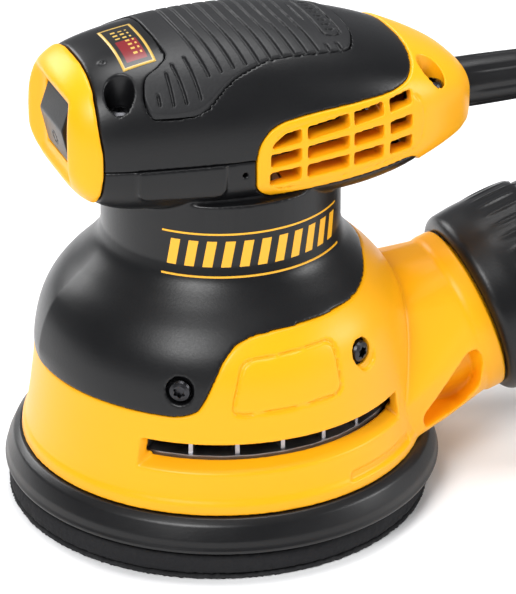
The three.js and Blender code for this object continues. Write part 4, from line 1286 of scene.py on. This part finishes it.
def makeBagTrim(seams):
    pieces = []
    for n, seam in enumerate(seams):
        piping = tubeAlong(f"bag_piping_{n + 1}", [Vector(p) for p in seam], pouchPlan["piping"])
        unwrapped(piping, lambda x, y, z: (x * mm, z * mm))
        pieces.append(settled(piping, "bag", bagCloth, "bag_fabric"))
    band = spun("bag_band", roundedOutline(pouchPlan["band"], 0.4, 3), 120)
    turned(band, portPlace)
    pieces.append(settled(band, "bag", blackRubber, "black_rubber"))
    return pieces


clipPlan = {
    "bar": [(-3.6, 124.4), (3.6, 124.4), (4, 128), (3, 133), (-3, 133), (-4, 128)],
    "room": [(-1.5, 120), (1.5, 120), (1.5, 131.2), (-1.5, 131.2)],
    "tab": [(-3.2, 126), (3.2, 126), (2.6, 131.6), (-2.6, 131.6)],
}


def makeClip():  # open at one end, so that it slides off the pinched edge
    bar = prism("clip_bar", roundedOutline(clipPlan["bar"], 1.6, 4), -27, 27, "Y")
    joined(bar, [prism("tab", roundedOutline(clipPlan["tab"], 1), 22, 28, "Y")])
    carved(bar, [prism("room", clipPlan["room"], -24.6, 40, "Y")])
    turned(bar, portPlace)
    softened(bar, 0.4, 3, 0.6)
    return settled(bar, "clip", blackPlastic, "black_plastic", "bag_clip")


bootPlan = {
    "line": [
        (61, 7.9), (64, 7.55), (72, 7.4), (80, 7.35), (92, 7.1), (104, 6.6), (116, 6), (124, 5.5),
        (127.4, 5.2), (128, 4.6),
    ],
    "sides": 96, "height": 113, "flutes": 8, "fluteDepth": 0.45,
}


def makeProtector():  # a tapered boot with flutes that fade out at both ends
    sides, height, points = bootPlan["sides"], bootPlan["height"], []
    line = smoothLine(bootPlan["line"], 8)
    for x, r in line:
        flute = bootPlan["fluteDepth"] * min(max((x - 72) / 6, 0), 1) * min(max((122 - x) / 8, 0), 1)
        for i in range(sides):
            t = 2 * math.pi * i / sides
            out = r - flute * max(0, math.cos(bootPlan["flutes"] * t)) ** 3
            points.append((x, out * math.cos(t), height + out * math.sin(t)))
    boot = newPiece("cord_boot", points, tubeFaces(len(line) - 1, sides))
    return settled(boot, "housing", blackRubber, "black_rubber", "cord_protector")


def makeScrewTree():  # a head on each point, turned to face as the point says
    others = [("Points", "NodeSocketGeometry"), ("Head", "NodeSocketObject")]
    tree, given, result = newBuilder("screwHeads", {}, others)
    facing = addNode(tree, "GeometryNodeInputNamedAttribute", {"Name": "facing"}, data_type="FLOAT_VECTOR")
    turn = addNode(tree, "FunctionNodeAlignRotationToVector", {"Vector": facing.outputs[0]}, axis="Z")
    head = addNode(tree, "GeometryNodeObjectInfo", {"Object": given.outputs["Head"]})
    points, shape = given.outputs["Points"], head.outputs["Geometry"]
    return builtFrom(tree, given, result, points, shape, Rotation=turn.outputs[0])


def screwHead(radius, tip):  # a domed head with a six-lobe recess, and its shank
    head = spun("head", [
        (0, tip), (1.5, tip), (1.5, 0), (radius, 0), (radius, 1.2), (radius - 0.3, 1.9), (radius * 0.6, 2.3),
        (0, 2.4),
    ], 48)
    star = []
    for i in range(48):
        t = 2 * math.pi * i / 48
        r = 0.5 * radius * (1 + 0.16 * math.cos(6 * t))
        star.append((r * math.cos(t), r * math.sin(t)))
    return carved(head, [prism("star", star, 1, 4)])


def makeScrews():
    tree = makeScrewTree()
    upright, outward, lift = [], [], 0.3
    for side in (-1, 1):
        upright += [((x, side * y, seat + lift), (0, 0, 1)) for x, y, seat in coverScrews.values()]
        for end in ("front", "rear"):
            radius, angle, height = screwPlan[end]
            outward.append(((*onRing(radius, side * angle), height), (*onRing(1, side * angle), 0)))
    sets = {
        "cover_screw_heads": (3.5, -14, "cover_screw", upright),
        "shroud_screw_heads": (3.1, -8, "shroud_screw", outward),
    }
    for name, (radius, tip, stem, seats) in sets.items():
        head = screwHead(radius, tip)
        piece = newPiece(name, [p for p, _ in seats], [])
        facing = piece.data.attributes.new("facing", "FLOAT_VECTOR", "POINT")
        for n, v in enumerate(piece.data.vertices):
            near = min(seats, key=lambda seat: (Vector(seat[0]) - v.co).length)
            facing.data[n].vector = near[1]
        setInputs(piece.modifiers.new("heads", "NODES"), tree, {"Head": head, "Finish": steelBlack})
        applied(piece)
        bpy.data.objects.remove(head)
        nodes = [f"{stem}_{end}_{hand}" for end in ("front", "rear") for hand in ("right", "left")]
        settled(piece, "housing", steelBlack, "steel", *nodes, smooth=False)


stickerPlan = {"x": (-33.4, -24), "y": (-16.2, 6.6), "lift": 0.12, "thick": 0.2, "columns": 16, "rows": 36}


def makeSticker():  # a thin label that follows the handle's top
    points, faces, columns, rows = [], [], stickerPlan["columns"], stickerPlan["rows"]
    (x0, x1), (y0, y1) = stickerPlan["x"], stickerPlan["y"]
    for j in range(rows + 1):
        for i in range(columns + 1):
            x, y = x0 + (x1 - x0) * i / columns, y0 + (y1 - y0) * j / rows
            points.append((x, y, handleTop(x, y) + stickerPlan["lift"]))
    for j in range(rows):
        for i in range(columns):
            a = j * (columns + 1) + i
            faces.append([a, a + 1, a + columns + 2, a + columns + 1])
    mesh = bpy.data.meshes.new("rating_label")
    mesh.from_pydata(points, [], faces)
    label = linked("rating_label", mesh)
    uv = mesh.uv_layers.new(name="print")
    for n, polygon in enumerate(mesh.polygons):
        j, i = divmod(n, columns)
        for loop, (di, dj) in zip(polygon.loop_indices, ((0, 0), (1, 0), (1, 1), (0, 1))):
            uv.data[loop].uv = ((i + di) / columns, (j + dj) / rows)
    step = label.modifiers.new("thick", "SOLIDIFY")
    step.thickness, step.offset = stickerPlan["thick"], -1
    applied(label)
    return settled(label, "housing", stickerPrint, "black_plastic")


def boxMask(tree, u, v, low, high):  # 1 inside a rectangle of the print
    parts = [
        mathNode(tree, "GREATER_THAN", u, low[0]), mathNode(tree, "LESS_THAN", u, high[0]),
        mathNode(tree, "GREATER_THAN", v, low[1]), mathNode(tree, "LESS_THAN", v, high[1]),
    ]
    return times(tree, times(tree, parts[0], parts[1]), times(tree, parts[2], parts[3]))


printPlan = {
    "gold": (0.62, 0.4, 0.08, 1), "black": (0.006, 0.005, 0.005, 1), "red": (0.2, 0.003, 0.008, 1),
    "field": ((0.08, 0.035), (0.92, 0.965)), "block": ((0.2, 0.1), (0.82, 0.56)),
    "bands": [((0.28, 0.62), (0.42, 0.88)), ((0.5, 0.2), (0.62, 0.84)), ((0.7, 0.2), (0.76, 0.84))],
}


def makeStickerPrint():  # a gold edge round a dark field with a red block and rows of bars
    material, tree, shader = newMaterial("stickerPrint", Roughness=0.3)
    uv = addNode(tree, "ShaderNodeSeparateXYZ", {"Vector": onPiece(tree, "UV")})
    u, v = uv.outputs["X"], uv.outputs["Y"]
    colour = mixNode(tree, boxMask(tree, u, v, *printPlan["field"]), printPlan["gold"], printPlan["black"])
    colour = mixNode(tree, boxMask(tree, u, v, *printPlan["block"]), colour, printPlan["red"])
    stripes = mathNode(tree, "GREATER_THAN", mathNode(tree, "SINE", times(tree, v, 62.0)), 0.25)
    for low, high in printPlan["bands"]:
        band = times(tree, boxMask(tree, u, v, low, high), stripes)
        colour = mixNode(tree, band, colour, printPlan["gold"])
    speck = addNode(tree, "ShaderNodeTexNoise", {"Vector": onPiece(tree), "Scale": 900.0})
    colour = mixNode(tree, times(tree, speck.outputs["Fac"], 0.12), colour, (0.1, 0.1, 0.1, 1))
    tree.links.new(colour, shader.inputs["Base Color"])
    return material


stickerPrint = makeStickerPrint()
neckGold = plastic("neckGold", (0.93, 0.45, 0.015), (0.95, 0.5, 0.05), 0.35, 0.05, wear=0.1)
neckPlan = {  # heights and widths in millimetres, angles in degrees
    "radius": 34.08, "from": -138, "to": -41, "lines": [(92.7, 0.55), (80.2, 0.55)],
    "bars": 11, "barLow": 82.4, "barHigh": 90.6, "lean": 2.52, "fill": 0.52,
}


def neckPatch(corners, radius, steps):  # a four-sided mark on the neck; corners are angle and height
    (a0, z0), (a1, z1), (a2, z2), (a3, z3) = corners
    points, faces = [], []
    for i in range(steps + 1):
        t = i / steps
        lower = (a0 + (a1 - a0) * t, z0 + (z1 - z0) * t)
        upper = (a3 + (a2 - a3) * t, z3 + (z2 - z3) * t)
        for angle, z in (lower, upper):
            points += [(*onRing(r, angle), z) for r in (radius, radius - 0.3)]
    for i in range(steps):
        a, b = 4 * i, 4 * i + 4
        faces += [
            [a, a + 2, b + 2, b], [a + 1, b + 1, b + 3, a + 3], [a, b, b + 1, a + 1],
            [a + 2, a + 3, b + 3, b + 2],
        ]
    end = 4 * steps
    return points, faces + [[0, 1, 3, 2], [end, end + 2, end + 3, end + 1]]


def makeNeckPrint():  # two fine lines with a row of leaning bars between them
    marks, plan = [], neckPlan
    start, end, low, high = plan["from"], plan["to"], plan["barLow"], plan["barHigh"]
    for z, width in plan["lines"]:
        below, above = z - width / 2, z + width / 2
        marks.append(([(start, below), (end, below), (end, above), (start, above)], 48))
    pitch = (end - start) / plan["bars"]
    lean, width = plan["lean"], pitch * plan["fill"]
    for i in range(plan["bars"]):
        a = start + 2 + i * pitch * 0.98
        marks.append(([(a, low), (a + width, low), (a + width + lean, high), (a + lean, high)], 8))
    points, faces = [], []
    for corners, steps in marks:
        radius = plan["radius"] + (0.9 if corners[0][1] < 81 else 0)  # the bell has begun to swell there
        some, sides = neckPatch(corners, radius, steps)
        faces += [[i + len(points) for i in f] for f in sides]
        points += some
    label = newPiece("neck_print", points, faces)
    return settled(label, "housing", neckGold, "yellow_plastic", smooth=False)


makeTopCover()
makeGrip()
makeBezel()
makeVentCover()
print("handle is made")
makeMotorHousing()
makeShroud()
print("bell and shroud are made")
makeSkirt()
makePad()
makeRocker()
makeProtector()
makeScrews()
makeSticker()
makeNeckPrint()
print("trim is made")
makeCollar()
pouch, seams = makePouch()
trim = makeBagTrim(seams)
makeClip()
print("dust bag is made")

finishes = {
    "yellow_plastic": yellowPlastic, "black_plastic": blackPlastic, "grip_rubber": gripRubber,
    "black_rubber": blackRubber, "pad_foam": padFoam, "hook_fabric": hookFabric, "bag_fabric": bagCloth,
    "tie_fabric": tieCloth, "cast_aluminium": castAluminium, "copper": copperWire, "brass": brassPlate,
    "carbon": graphite, "steel": steelBright,
}
for name, node in frame["nodes"].items():
    slotName = next(s["material_slot"] for s in frame["record"]["subparts"] if s["node"] == name)
    node.data.materials.clear()
    node.data.materials.append(finishes[slotName])
